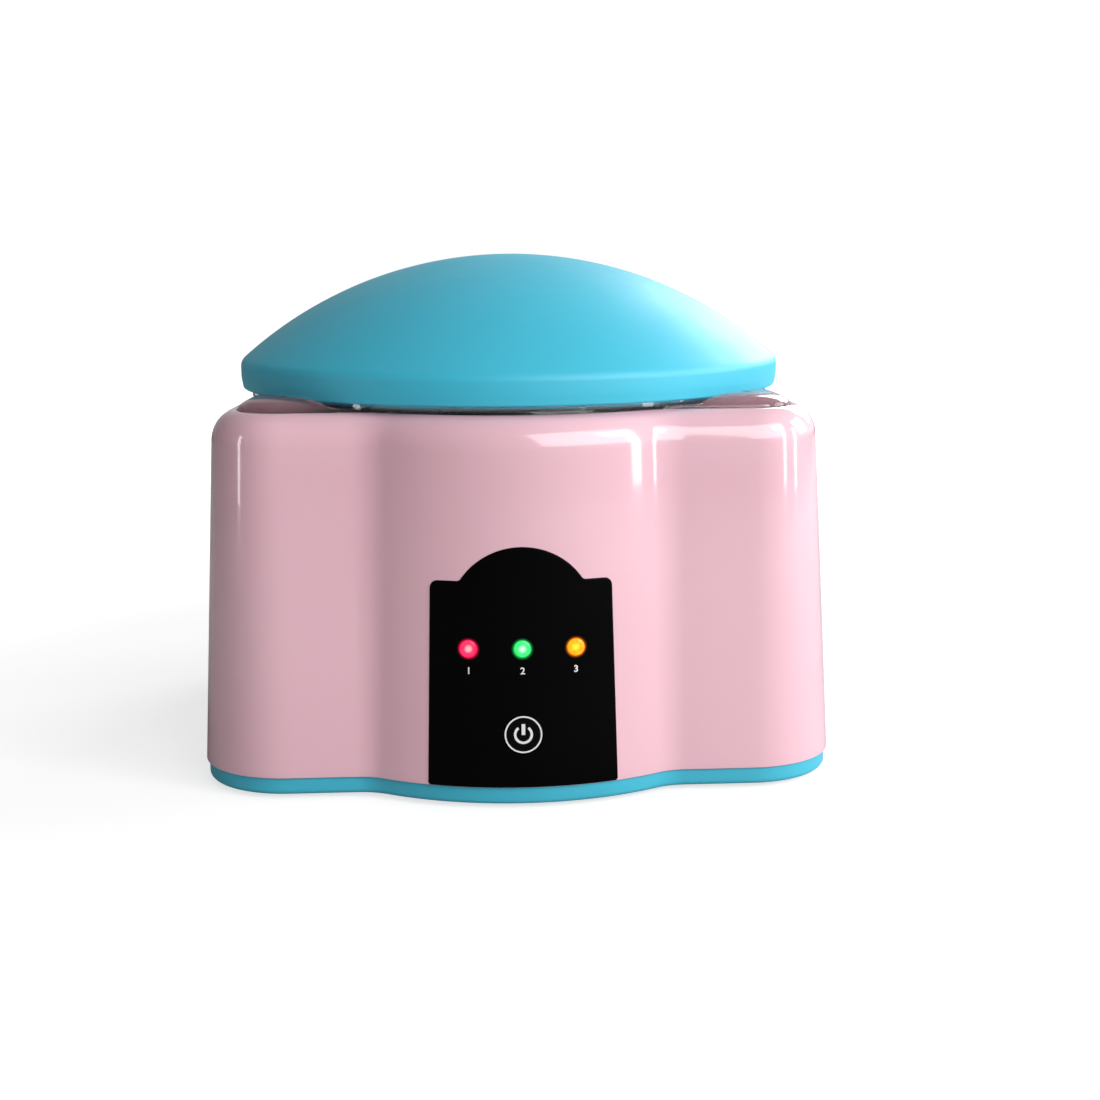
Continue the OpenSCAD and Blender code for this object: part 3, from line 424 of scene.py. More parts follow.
def distanceTo(tree, centre):
    # distance in metres from an axis along Y through the centre
    away = addNode(tree, "VectorMath", {0: objectPlace(tree), 1: centre}, operation="SUBTRACT")
    flat = addNode(tree, "VectorMath", {0: away.outputs[0], 1: (1, 0, 1)}, operation="MULTIPLY")
    return addNode(tree, "VectorMath", {0: flat.outputs[0]}, operation="LENGTH").outputs["Value"]


housingFinish = {
    "name": "glossRosePlastic",
    "tones": ((226, 181, 194), (230, 187, 199)),
    "driftScale": 9,
    "roughness": (0.10, 0.16),
    "wave": 0.10,
    "waveScale": 55,
    "grain": 0.03,
    "grainScale": 2600,
    "coat": 0.6,
    "coatRoughness": 0.03,
    "soft": 0.08,
}
lidFinish = {
    "name": "satinSkyPlastic",
    "tones": ((58, 182, 210), (64, 188, 215)),
    "driftScale": 11,
    "roughness": (0.42, 0.50),
    "wave": 0.05,
    "waveScale": 40,
    "grain": 0.35,
    "grainScale": 3400,
    "soft": 0.05,
}
baseFinish = {
    "name": "skyBasePlastic",
    "tones": ((60, 176, 202), (66, 182, 207)),
    "roughness": (0.34, 0.44),
    "grain": 0.2,
    "grainScale": 3000,
}
panelFinish = {
    "name": "glossBlackPanel",
    "tones": ((3, 3, 4), (5, 5, 6)),
    "roughness": (0.10, 0.18),
    "wave": 0.03,
    "grain": 0.02,
    "grainScale": 2500,
    "shine": 0.04,
}
keyFinish = {
    "name": "satinBlackKey",
    "tones": ((4, 4, 5), (7, 7, 8)),
    "roughness": (0.20, 0.28),
    "grain": 0.15,
    "grainScale": 4200,
    "shine": 0.06,
}
markFinish = {
    "name": "printedPaleInk",
    "tones": ((222, 222, 224), (232, 232, 234)),
    "roughness": (0.35, 0.5),
    "grain": 0.2,
    "grainScale": 6000,
}
rosePlastic = mouldedPlastic(housingFinish)
lidPlastic = mouldedPlastic(lidFinish)
basePlastic = mouldedPlastic(baseFinish)
panelPlastic = mouldedPlastic(panelFinish)
keyPlastic = mouldedPlastic(keyFinish)
paleInk = mouldedPlastic(markFinish)

clearFinish = {
    "name": "clearPolycarbonate",
    "tones": ((240, 244, 247), (246, 248, 250)),
    "roughness": (0.015, 0.045),
    "ior": 1.49,
    "shadow": 0.12,   # how much of a lamp's light each face holds back
}


def clearPlastic(spec):
    material, tree, shader = newMaterial(spec["name"])
    tint(tree, shader, noise(tree, 12, 2), spec["tones"])
    smear = noise(tree, 70, 4)
    bumps(tree, shader, [(noise(tree, 60, 1), 0.08, 0.0003)])
    # lamps shine through it onto what it covers
    shadowRay = addNode(tree, "LightPath", {}).outputs["Is Shadow Ray"]
    feed(tree, shader, {
        "Roughness": spread(tree, smear, *spec["roughness"]),
        "Transmission Weight": 1.0,
        "IOR": spec["ior"],
        "Alpha": spread(tree, shadowRay, 1.0, spec["shadow"], 0, 1),
    })
    return material


clearCoverPlastic = clearPlastic(clearFinish)
print("main materials made")

housing = {
    "stepLevel": 116.3,
    "seatRadius": 79.7,
    "seatLevel": 114.1,
    "mouthRadius": 76.0,
    "ceiling": 112.3,
    "ceilingFall": 5.0,   # of the deck's underside, from the wall to the middle
    "windowHalf": 24.5,   # opening behind the panel
    "windowLow": 9.6,
    "windowHigh": 66.0,
    "pocketColumns": 7,
    "pocketLow": 9.6,
    "pocketHigh": 29.4,
    "inletLevel": 19.5,
    "pocketRadius": 7.2,
    "pocketDepth": 2.1,
    "patchHalf": 24.0,
    "patchRows": 6,
    "rowStep": 3.3,       # between the levels beside the panel, and above it
    "upperStep": 4.15,
    "edgeSteps": 14,
    "pocketEdge": 0.4,
    "throatRadius": 4.5,
    "throatDepth": 3.0,
}


def buildHousing():
    h = housing
    seam, wall = outline["seam"], outline["wall"]
    outerLevels = [h["windowLow"]]
    while outerLevels[-1] < h["windowHigh"]:
        outerLevels.append(outerLevels[-1] + h["rowStep"])
    while outerLevels[-1] < edgeStart - 3:
        outerLevels.append(outerLevels[-1] + h["upperStep"])
    # the seam's small radius, the outer wall, the rounded top edge and the seat of the bowl
    rings = [level(seam, wall), level(seam, 0.5), level(seam + 0.05, 0.22), level(seam + 0.2, 0.06)]
    rings.append(level(seam + 0.5, insetAt(seam + 0.5)))
    firstOuter = len(rings)
    rings += [level(z, insetAt(z)) for z in outerLevels if z < edgeStart - 0.5]
    lastOuter = len(rings)
    last = h["edgeSteps"]
    for i in range(last + 1):
        a = math.pi / 2 * i / last
        z = edgeStart + outline["edgeHeight"] * math.sin(a)
        inset = insetAt(edgeStart) + outline["edgeWidth"] * (1 - math.cos(a)) - (0.25 if i == last else 0)
        rings.append(level(z, inset))
    rings.append(level(outline["top"] - 0.08, topInset - 0.07))
    rings.append(level(outline["top"] - 0.3, topInset))
    rings.append(level(h["stepLevel"], topInset))
    rings.append(circleLevel(h["stepLevel"], h["seatRadius"]))
    rings.append(circleLevel(h["seatLevel"], h["seatRadius"]))
    rings.append(circleLevel(h["seatLevel"], h["mouthRadius"] + 0.3))
    rings.append(circleLevel(h["seatLevel"] - 0.3, h["mouthRadius"]))
    # the deck's underside rises from the mouth to the wall
    roof = level(h["ceiling"], insetAt(edgeStart) + wall + 4)
    inner = []
    for x, y, z in roof:
        part = h["mouthRadius"] / math.hypot(x, y)
        inner.append((x * part, y * part, z - h["ceilingFall"] * (1 - part)))
    rings += [inner, roof]
    rings.append(level(edgeStart + 3, insetAt(edgeStart) + wall + 1))
    rings.append(level(edgeStart - 2, insetAt(edgeStart - 2) + wall))
    points, faces = band(rings, closed=True)
    count = len(loop)
    backMiddle = count // 2
    k = h["pocketColumns"]
    patchLow, patchHigh = firstOuter, firstOuter + h["patchRows"]
    kept = []
    for face in faces:
        rows = [i // count for i in face]
        mid = [sum(points[i][axis] for i in face) / 4 for axis in range(3)]
        outer = min(rows) >= firstOuter and max(rows) < lastOuter
        inWindow = abs(mid[0]) < h["windowHalf"] and h["windowLow"] < mid[2] < h["windowHigh"]
        if outer and mid[1] < 0 and inWindow:
            continue
        inPatch = min(rows) >= patchLow and max(rows) <= patchHigh
        if outer and mid[1] > 0 and inPatch and all(abs(i % count - backMiddle) <= k for i in face):
            continue
        kept.append(face)
    # the round pocket for the inlet, let into the patch left open at the back
    low, high = patchLow * count + backMiddle, patchHigh * count + backMiddle
    edge = [low + i for i in range(-k, k + 1)]
    edge += [r * count + backMiddle + k for r in range(patchLow + 1, patchHigh)]
    edge += [high + i for i in range(k, -k - 1, -1)]
    edge += [r * count + backMiddle - k for r in range(patchHigh - 1, patchLow, -1)]

    def circle(radius):
        return circlePoints(0, h["inletLevel"], radius, 72)

    r, e = h["pocketRadius"], h["pocketEdge"]
    hole = circle(r + e)
    flat, tris = sheetFill([(points[i][0], points[i][2]) for i in edge], [hole], 1.6)
    extend(points, kept, [frontPoint(x, z, 0, 1) for x, z in flat], tris)
    floorY = outline["bulgeFront"] - h["pocketDepth"]
    pocket = [[frontPoint(x, z, depth, 1) for x, z in circle(r + grow)]
              for grow, depth in ((e, 0), (e * 0.3, e * 0.3), (0, e))]
    throat = h["throatRadius"]
    for radius, y in ((r, floorY), (throat, floorY), (throat, floorY - h["throatDepth"])):
        pocket.append([(x, y, z) for x, z in circle(radius)])
    extend(points, kept, *band(pocket))
    piece = addPiece("roseHousing", points, kept, rosePlastic, "housing",
                     ["body_shell"], 32)
    smoothBulge(piece, 1, h["patchHalf"], h["pocketLow"] - 3, h["pocketHigh"] + 4)


buildHousing()
print("housing built")

panel = {
    "halfLow": 28.7,
    "halfHigh": 27.2,
    "low": 7.1,
    "corner": 69.4,
    "arch": 79.6,
    "archHalf": 18.4,
    "cornerRadius": 2.4,
    "footRadius": 0.9,
    "fillet": 1.5,
    "proud": 0.3,
    "thick": 1.3,
    "bevel": 0.32,
    "buttonLevel": 23.4,
    "buttonHole": 5.99,
    "lampLevel": 49.2,
    "lampPitch": 16.0,
    "lampHole": 2.62,
    "holeBevel": 0.1,
    "sideSteps": 34,
}


def panelShape():
    # half of the panel's edge from the middle of its foot to the top of its arch, then mirrored
    p = panel
    rise = p["arch"] - p["corner"]
    archR = (p["archHalf"] ** 2 + rise ** 2) / (2 * rise)
    archZ = p["arch"] - archR
    footX = p["halfLow"] - p["footRadius"]
    half = [(x, p["low"]) for x in [i * 1.6 for i in range(1, 18)] if x < footX]
    half += rounded(footX, p["low"] + p["footRadius"], p["footRadius"], -90, 0, 8)
    cornerX, cornerZ = p["halfHigh"] - p["cornerRadius"], p["corner"] - p["cornerRadius"]
    startX, startZ = half[-1]
    across, upward, steps = p["halfHigh"] - startX, cornerZ - startZ, p["sideSteps"]
    half += [(startX + across * i / steps, startZ + upward * i / steps) for i in range(1, steps)]
    half += rounded(cornerX, cornerZ, p["cornerRadius"], 0, 90, 12)
    # small fillet between the upper edge and the arch
    f = p["fillet"]
    filletZ = p["corner"] + f
    filletX = math.sqrt((archR + f) ** 2 - (filletZ - archZ) ** 2)
    touch = math.degrees(math.atan2(filletZ - archZ, filletX))
    x = half[-1][0] - 1.2
    while x > filletX + 0.8:
        half.append((x, p["corner"]))
        x -= 1.4
    half += rounded(filletX, filletZ, f, 270, 180 + touch, 6)
    half += rounded(0, archZ, archR, touch + 1.2, 90, 26)[:-1]
    return [(0, p["low"])] + half + [(0, p["arch"])] + [(-x, z) for x, z in reversed(half)]


def shrunk(polygon, distance):
    # a closed line drawn in by a small distance
    result = []
    count = len(polygon)
    for i, (x, z) in enumerate(polygon):
        x0, z0 = polygon[i - 1]
        x1, z1 = polygon[(i + 1) % count]
        tx, tz = x1 - x0, z1 - z0
        size = math.hypot(tx, tz)
        result.append((x - tz / size * distance, z + tx / size * distance))
    return result


def buildPanel():
    p = panel
    edge = panelShape()
    front, back, bevel = -p["proud"], p["thick"] - p["proud"], p["holeBevel"]
    holes = [(0, p["buttonLevel"], p["buttonHole"])]
    holes += [(i * p["lampPitch"], p["lampLevel"], p["lampHole"]) for i in (-1, 0, 1)]
    rims = [circlePoints(x, z, r + bevel, 64) for x, z, r in holes]
    flat, tris = sheetFill(shrunk(edge, p["bevel"]), rims, 1.5)
    points = [frontPoint(x, z, front) for x, z in flat]
    faces = list(tris)
    # inset and depth of each line round the edge
    steps = [(p["bevel"], front), (p["bevel"] * 0.35, front + 0.09), (0, front + 0.28), (0, back)]
    rings = [[frontPoint(x, z, depth) for x, z in shrunk(edge, inset)] for inset, depth in steps]
    extend(points, faces, *band(rings))
    for (x, z, r), rim in zip(holes, rims):
        lines = [(rim, front), (circlePoints(x, z, r, 64), front + bevel), (circlePoints(x, z, r, 64), back)]
        rings = [[frontPoint(px, pz, depth) for px, pz in line] for line, depth in lines]
        extend(points, faces, *band(rings), flip=True)
    piece = addPiece("controlPanel", points, faces, panelPlastic, "housing",
                     ["control_panel"], 25)
    smoothBulge(piece, -1, p["halfLow"] + 1, 0, p["arch"] + 1)


buildPanel()
print("control panel built")

# the panel's face at the key, leaning back with the wall
keyPlace = Vector((0, insetAt(panel["buttonLevel"]) - outline["bulgeFront"], panel["buttonLevel"])) * mm
faceMatrix = Matrix.Translation(keyPlace) @ Matrix.Rotation(-outline["draft"], 4, "X")
turnIn = Matrix.Rotation(math.radians(-90), 4, "X")   # lathe axis Z becomes +Y, into the housing
button = {
    "radius": 5.9,
    "proud": 0.5,
    "edge": 0.35,
    "ringOuter": 5.62,
    "ringInner": 5.16,
    "arcOuter": 2.85,
    "arcInner": 2.1,
    "arcOpen": 36,
    "barHalf": 0.55,
    "barLow": -0.1,
    "barHigh": 3.2,
    "ink": 0.03,
    "skirt": 7.4,
    "stem": 2.0,
    "skirtFront": 3.5,
    "skirtBack": 4.5,
    "stemEnd": 8.6,
}


def buildButton():
    b = button
    front = -b["proud"]
    profile = [(0, front)] + [(b["radius"] * f, front) for f in (0.3, 0.6, 0.85)]
    profile += softEdge(b["radius"], front, b["edge"], b["edge"], 15)
    profile += [(b["radius"], b["skirtFront"] - 0.1), (b["skirt"], b["skirtFront"])]
    profile.append((b["skirt"], b["skirtBack"]))
    profile += [(b["stem"], b["skirtBack"]), (b["stem"], b["stemEnd"]), (0, b["stemEnd"])]
    points, faces = lathe(profile, 96)
    addPiece("pushKey", points, faces, keyPlastic, "button", ["power_button"], 30,
             faceMatrix @ turnIn)
    # printed ring, open arc and bar, as flat ink a hair proud of the key
    y0, y1 = front - b["ink"], front + 0.02
    points, faces = [], []

    def strip(inner, outer, closed):
        start = len(points)
        for (xi, zi), (xo, zo) in zip(inner, outer):
            points.extend([(xi, y0, zi), (xo, y0, zo), (xo, y1, zo), (xi, y1, zi)])
        count = len(inner)
        for i in range(count if closed else count - 1):
            a, c = start + 4 * i, start + 4 * ((i + 1) % count)
            for k in range(4):
                faces.append((a + k, a + (k + 1) % 4, c + (k + 1) % 4, c + k))
        if not closed:
            faces.append((start + 3, start + 2, start + 1, start))
            last = start + 4 * (count - 1)
            faces.append((last, last + 1, last + 2, last + 3))

    strip(circlePoints(0, 0, b["ringInner"], 96), circlePoints(0, 0, b["ringOuter"], 96), True)
    start, end = 90 + b["arcOpen"], 450 - b["arcOpen"]
    strip(rounded(0, 0, b["arcInner"], start, end, 60), rounded(0, 0, b["arcOuter"], start, end, 60), False)
    strip(*([(x, b["barLow"]), (x, b["barHigh"])] for x in (-b["barHalf"], b["barHalf"])), False)
    addPiece("keyMark", points, faces, paleInk, "button", (), 30, faceMatrix)


buildButton()

numbers = {"height": 2.0, "level": 42.7, "ink": 0.03}


def buildNumbers():
    # plain numbers under the lamps, bent onto the panel
    points, faces = [], []
    for index, text in enumerate("123"):
        curve = bpy.data.curves.new("number" + text, "FONT")
        curve.body = text
        curve.size = numbers["height"] / 0.7
        curve.align_x = "CENTER"
        curve.offset = 0.06
        holder = bpy.data.objects.new("number" + text, curve)
        bpy.context.collection.objects.link(holder)
        flat = holder.to_mesh()
        x, z = (index - 1) * panel["lampPitch"], numbers["level"] - numbers["height"] / 2
        depth = -panel["proud"] - numbers["ink"]
        spots = [frontPoint(x + vertex.co.x, z + vertex.co.y, depth) for vertex in flat.vertices]
        extend(points, faces, spots, [tuple(poly.vertices) for poly in flat.polygons])
        holder.to_mesh_clear()
        bpy.data.objects.remove(holder)
        bpy.data.curves.remove(curve)
    addPiece("lampNumbers", points, faces, paleInk, "housing", (), 30)


buildNumbers()

lamps = {
    "left": ("lamp_left", "lamp_red", -1, ((255, 188, 176), (252, 40, 90), (205, 14, 60))),
    "middle": ("lamp_middle", "lamp_green", 0, ((214, 255, 222), (52, 214, 110), (14, 150, 62))),
    "right": ("lamp_right", "lamp_amber", 1, ((255, 226, 60), (255, 160, 10), (200, 98, 0))),
}
lampShape = {"radius": 2.56, "dome": 0.35, "length": 8.2, "flange": 2.9, "flangeThick": 1, "glow": 3.35}


def glow(tree, side, colours):
    # bright in the middle of a lamp, fading to black round it; beyond the lens this is painted glow on the
    # panel
    core, body, rim = (linear(*c) for c in colours)
    dim = tuple(c * 0.25 for c in rim[:3]) + (1,)
    away = spread(tree, distanceTo(tree, lampCentre(side)), 0, 1, 0, lampShape["glow"] * mm)
    return ramp(tree, away, [(0.0, core), (0.14, core), (0.42, body), (0.66, body), (0.80, rim), (0.90, dim),
                             (1.0, (0, 0, 0, 1))])


def lampCentre(side):
    x = side * panel["lampPitch"]
    return Vector(frontPoint(x, panel["lampLevel"], -panel["proud"])) * mm


def buildLamp(key):
    node, slotName, side, colours = lamps[key]
    s = lampShape
    x = side * panel["lampPitch"]
    sag = outline["bulgeRadius"] - math.sqrt(outline["bulgeRadius"] ** 2 - x * x)
    tip = sag - panel["proud"] + 0.02
    end = tip + s["length"]
    profile = softEdge(s["radius"], tip, s["radius"], s["dome"], 10)
    flangeFront = end - s["flangeThick"]
    profile += [(s["radius"], flangeFront), (s["flange"], flangeFront), (s["flange"], end), (0, end)]
    points, faces = lathe(profile, 48)
    up = (panel["lampLevel"] - panel["buttonLevel"]) / math.cos(outline["draft"])
    place = faceMatrix @ Matrix.Translation(Vector((x, 0, up)) * mm) @ turnIn
    material, tree, shader = newMaterial("glow" + key.capitalize())
    tint(tree, shader, noise(tree, 900, 2), colours[1:])
    feed(tree, shader, {
        "Emission Color": glow(tree, side, colours),
        "Emission Strength": 1.0,
        "Roughness": spread(tree, noise(tree, 500, 3), 0.12, 0.22),
    })
    addPiece("lampLens" + key.capitalize(), points, faces, material, "housing", [node], 35, place)


for key in lamps:
    buildLamp(key)


def paintedLampGlowOnPanel():
    # painted glow: emission painted faintly into the black panel round each lamp, standing in for the lamps'
    # light falling on it
    tree = panelPlastic.node_tree
    total = None
    for _, _, side, colours in lamps.values():
        halo = glow(tree, side, colours)
        if total:
            sockets = {"Factor": 1.0, 6: total, 7: halo}
            halo = addNode(tree, "Mix", sockets, data_type="RGBA", blend_type="ADD").outputs[2]
        total = halo
    feed(tree, tree.nodes["Principled BSDF"], {"Emission Color": total, "Emission Strength": 1.0})


paintedLampGlowOnPanel()
print("key, numbers and lamps built")

base = {
    "bottom": 1.4,
    "step": 0.9,
    "edge": 1.6,
    "floor": 2.5,
    "lip": 3.0,
    "footX": 50.0,
    "footY": 68.0,
    "footHole": 9.15,
    "footRecess": 1.0,
    "screwX": 74.0,
    "screwY": 60.0,
    "screwHole": 3.7,
    "screwRecess": 2.2,
    "ventCount": 7,
    "ventWidth": 2.4,
    "ventLength": 24.0,
    "ventPitch": 7.0,
    "ventY": -52.0,
    "lipGap": 0.2,
    "lipIn": 1.8,
}


def slotPoints(cx, cy, width, length, steps=6):
    # a slot with round ends, long along Y
    r, straight = width / 2, length / 2 - width / 2
    return rounded(cx, cy + straight, r, 0, 180, steps) + rounded(cx, cy - straight, r, 180, 360, steps)


def buildBase():
    b = base
    bottom, top = b["bottom"], b["bottom"] + b["floor"]
    seam, wall = outline["seam"], outline["wall"]
    rings = []
    for i in range(7):
        a = math.pi / 2 * i / 6
        rings.append(level(bottom + b["edge"] * (1 - math.cos(a)), b["step"] + b["edge"] * (1 - math.sin(a))))
    rings.append(level(seam - 0.25, b["step"]))
    rings.append(level(seam - 0.02, b["step"] + 0.25))
    rings.append(level(seam - 0.02, wall + b["lipGap"]))
    rings.append(level(seam + b["lip"], wall + b["lipGap"] + insetAt(seam + b["lip"])))
    rings.append(level(seam + b["lip"], wall + b["lipIn"]))
    rings.append(level(top, wall + b["lipIn"]))
    points, faces = band(rings)
    holes, floors = [], []
    for sx in (-1, 1):
        for sy in (-1, 1):
            holes.append(circlePoints(sx * b["footX"], sy * b["footY"], b["footHole"], 56))
            floors.append(b["footRecess"])
            holes.append(circlePoints(sx * b["screwX"], sy * b["screwY"], b["screwHole"], 32))
            floors.append(b["screwRecess"])
    for i in range(b["ventCount"]):
        x = (i - (b["ventCount"] - 1) / 2) * b["ventPitch"]
        holes.append(slotPoints(x, b["ventY"], b["ventWidth"], b["ventLength"]))
        floors.append(None)
    flat, tris = sheetFill(drawnIn(b["step"] + b["edge"]), holes, 0)
    extend(points, faces, [(x, y, bottom) for x, y in flat], tris, flip=True)
    vents = [h for h, depth in zip(holes, floors) if depth is None]
    flat, tris = sheetFill(drawnIn(wall + b["lipIn"]), vents, 0)
    extend(points, faces, [(x, y, top) for x, y in flat], tris)
    for hole, depth in zip(holes, floors):
        upper = top if depth is None else bottom + depth
        extend(points, faces, *band([[(x, y, z) for x, y in hole] for z in (bottom, upper)]))
        if depth is not None:
            faces.append(tuple(range(len(points) - len(hole), len(points))))
    addPiece("skyBase", points, faces, basePlastic, "housing", ["base_plate"], 32)


buildBase()

footSpec = {"radius": 9.0, "top": 2.4, "edge": 0.7, "dish": 0.25, "dishRim": 2.2, "dishSlope": 0.4}


def buildFoot(name, node, x, y):
    f = footSpec
    rim = f["radius"] - f["dishRim"]
    profile = [(0, f["dish"]), (rim - f["dishSlope"], f["dish"]), (rim, 0.0)]
    profile += rounded(f["radius"] - f["edge"], f["edge"], f["edge"], -90, 0, 6)
    profile += [(f["radius"], f["top"]), (0, f["top"])]
    points, faces = lathe(profile, 64)
    place = Matrix.Translation(Vector((x, y, 0)) * mm)
    addPiece(name, points, faces, footRubber, "housing", [node], 35, place)


rubberFinish = {
    "name": "footRubber",
    "tones": ((34, 34, 36), (44, 44, 46)),
    "roughness": (0.7, 0.85),
    "grain": 0.5,
    "grainScale": 2200,
}
footRubber = mouldedPlastic(rubberFinish)
for name, node, sx, sy in (("footFrontLeft", "foot_fl", -1, -1), ("footFrontRight", "foot_fr", 1, -1),
                           ("footBackLeft", "foot_bl", -1, 1), ("footBackRight", "foot_br", 1, 1)):
    buildFoot(name, node, sx * base["footX"], sy * base["footY"])
print("base and feet built")

cover = {
    "inset": topInset + 0.25,
    "bottom": 116.3,
    "floor": 118.3,
    "flangeBottom": 117.6,
    "hole": 74.5,
    "ringOuter": 80.6,
    "ringInner": 78.6,
    "ringTop": 121.3,
    "wallOuter": 88.2,
    "wallInner": 86.4,
    "wallTop": 121.5,
    "step": 93.0,
    "rise": 3.8,
    "crownWidth": 11.0,
    "round": 0.35,
    "lipIn": 0.26,
    "crownSteps": 16,
    "crownStart": 12,     # angle at which the crown leaves the edge
}


def buildCover():
    c = cover
    count = len(loop)
    e = c["round"]

    def atInset(i, distance):
        x, y, nx, ny = loop[i]
        return Vector((x - nx * distance, y - ny * distance))

    def crownHeight(distance):
        # height of the raised corners at a distance in from the cover's edge
        f = min(max(distance / c["crownWidth"], 0), 1)
        return outline["top"] + c["rise"] * math.sin(math.acos(1 - f))

    columns = []
    for i in range(count):
        edge = atInset(i, c["inset"])
        out = edge.length
        way = edge / out
        rows = [(way * c["hole"], c["bottom"]), (edge, c["bottom"]), (edge, outline["top"])]
        wide = out > c["wallOuter"]
        rows.append((edge, c["flangeBottom"]))
        rows.append((edge if wide else way * c["wallOuter"], c["flangeBottom"]))
        start = c["lipIn"]
        lip = atInset(i, c["inset"] + start) if wide else way * c["wallOuter"]
        raised = out - start > c["step"]
        # inset where the crown meets the round step for the lid
        reach = 0.0
        if raised:
            low, high = start, 60.0
            for _ in range(40):
                mid = (low + high) / 2
                if atInset(i, c["inset"] + mid).length > c["step"]:
                    low = mid
                else:
                    high = mid
            reach = low
        for k in range(c["crownSteps"] + 1):
            a = math.radians(c["crownStart"] + (90 - c["crownStart"]) * k / c["crownSteps"])
            distance = c["crownWidth"] * (1 - math.cos(a))
            if raised:
                distance = min(max(distance, start), reach - e if reach - e > start else start)
                rows.append((atInset(i, c["inset"] + distance), crownHeight(distance)))
            else:
                rows.append((lip, c["floor"]))
        if raised:
            top = crownHeight(reach)
            tail = max(reach - e, start)
            rows.append((atInset(i, c["inset"] + tail), crownHeight(tail)))
            end = atInset(i, c["inset"] + reach)
            rows.append((end, max(top - e, c["floor"] + 0.01)))
            rows.append((end, c["floor"]))
        else:
            rows += [(lip, c["floor"])] * 3
        rows.append((way * c["wallOuter"], c["floor"]))
        for kind in ("wall", "ring"):
            outer, inner, high = c[kind + "Outer"], c[kind + "Inner"], c[kind + "Top"]
            if kind == "ring":
                rows.append((way * outer, c["floor"]))
            rows.append((way * outer, high - e))
            rows.append((way * (outer - e * 0.3), high - e * 0.3))
            rows.append((way * (outer - e), high))
            rows.append((way * (inner + e), high))
            rows.append((way * (inner + e * 0.3), high - e * 0.3))
            rows.append((way * inner, high - e))
            rows.append((way * inner, c["floor"]))
        rows.append((way * c["hole"], c["floor"]))
        columns.append([(p.x, p.y, z) for p, z in rows])
    points, faces = band([list(ring) for ring in zip(*columns)], closed=True)
    addPiece("clearCover", points, faces, clearCoverPlastic, "cover", ["clear_cover"], 28)


buildCover()
print("clear cover built")

tray = {
    "level": 118.3,
    "thick": 2.0,
    "radius": 78.3,
    "slotIn": 37.0,
    "slotOut": 72.0,
    "slotWidth": 19.0,
    "slotStep": 31.0,
    "edge": 0.5,
    "edgeSteps": 4,
}
trayFinish = {
    "name": "satinWhiteTray",
    "tones": ((238, 238, 234), (244, 244, 241)),
    "roughness": (0.3, 0.42),
    "grain": 0.15,
    "grainScale": 2600,
    "soft": 0.06,
}


def buildTray():
    t = tray
    r = t["slotWidth"] / 2

    def slotAt(angle, grow):
        pts = rounded(t["slotOut"] - r, 0, r + grow, -90, 90, 14)
        pts += rounded(t["slotIn"] + r, 0, r + grow, 90, 270, 14)
        c, s = math.cos(angle), math.sin(angle)
        return [(x * c - y * s, x * s + y * c) for x, y in pts]

    angles = [math.radians(side + i * t["slotStep"]) for side in (0, 180) for i in range(-2, 3)]
    e = t["edge"]
    low, high = t["level"], t["level"] + t["thick"]
    points, faces = [], []
    for z, flip in ((high, False), (low, True)):
        flat, tris = sheetFill(circlePoints(0, 0, t["radius"] - e, 160), [slotAt(a, e) for a in angles], 6)
        extend(points, faces, [(x, y, z) for x, y in flat], tris, flip)

    def edgeBand(lineAt):
        # the rounded edge, from the upper face down to the lower one
        quarter = [math.radians(90 / t["edgeSteps"] * k) for k in range(t["edgeSteps"] + 1)]
        turns = [(high - e + e * math.sin(a), a) for a in reversed(quarter)]
        turns += [(low + e - e * math.sin(a), a) for a in quarter]
        rings = [[(x, y, z) for x, y in lineAt(e * (1 - math.cos(a)))] for z, a in turns]
        extend(points, faces, *band(rings))

    edgeBand(lambda d: circlePoints(0, 0, t["radius"] - d, 160))
    for angle in angles:
        edgeBand(lambda d: slotAt(angle, d))
    addPiece("fingerTray", points, faces, mouldedPlastic(trayFinish), "cover",
             ["finger_tray"], 40)


buildTray()
print("finger tray built")

lid = {
    "radius": 91.7,
    "low": 120.0,
    "top": 163.9,
    "rim": 7.2,
    "shoulder": 4.0,
    "taper": 0.5,
    "thick": 2.4,
    "foot": 0.8,
    "linerGap": 0.2,
    "linerThick": 1.6,
    "collar": 85.4,
    "collarThick": 3.0,
    "collarLow": 118.5,
    "collarEdge": 0.5,
    "rimEdge": 0.3,
    "rimStart": 2.4,      # where the rim has almost its full radius, and where it has all of it
    "rimFull": 4.0,
}
domeRise = lid["top"] - lid["low"] - lid["rim"]
shoulderX = lid["radius"] - lid["shoulder"]
domeSpan = shoulderX ** 2 + domeRise ** 2 - lid["shoulder"] ** 2
domeRadius = domeSpan / (2 * (domeRise - lid["shoulder"]))
domeCentre = lid["top"] - domeRadius


def domeSide(drawn, rimSteps=14, domeSteps=54):
    # shoulder and dome from the rim to the middle, drawn in by a distance
    cz = lid["low"] + lid["rim"]
    a1 = math.atan2(cz - domeCentre, shoulderX)
    side = rounded(shoulderX, cz, lid["shoulder"] - drawn, 0, math.degrees(a1), rimSteps)
    r = domeRadius - drawn
    for i in range(1, domeSteps + 1):
        a = a1 + (math.pi / 2 - a1) * i / domeSteps
        side.append((r * math.cos(a) if i < domeSteps else 0.0, domeCentre + r * math.sin(a)))
    return side


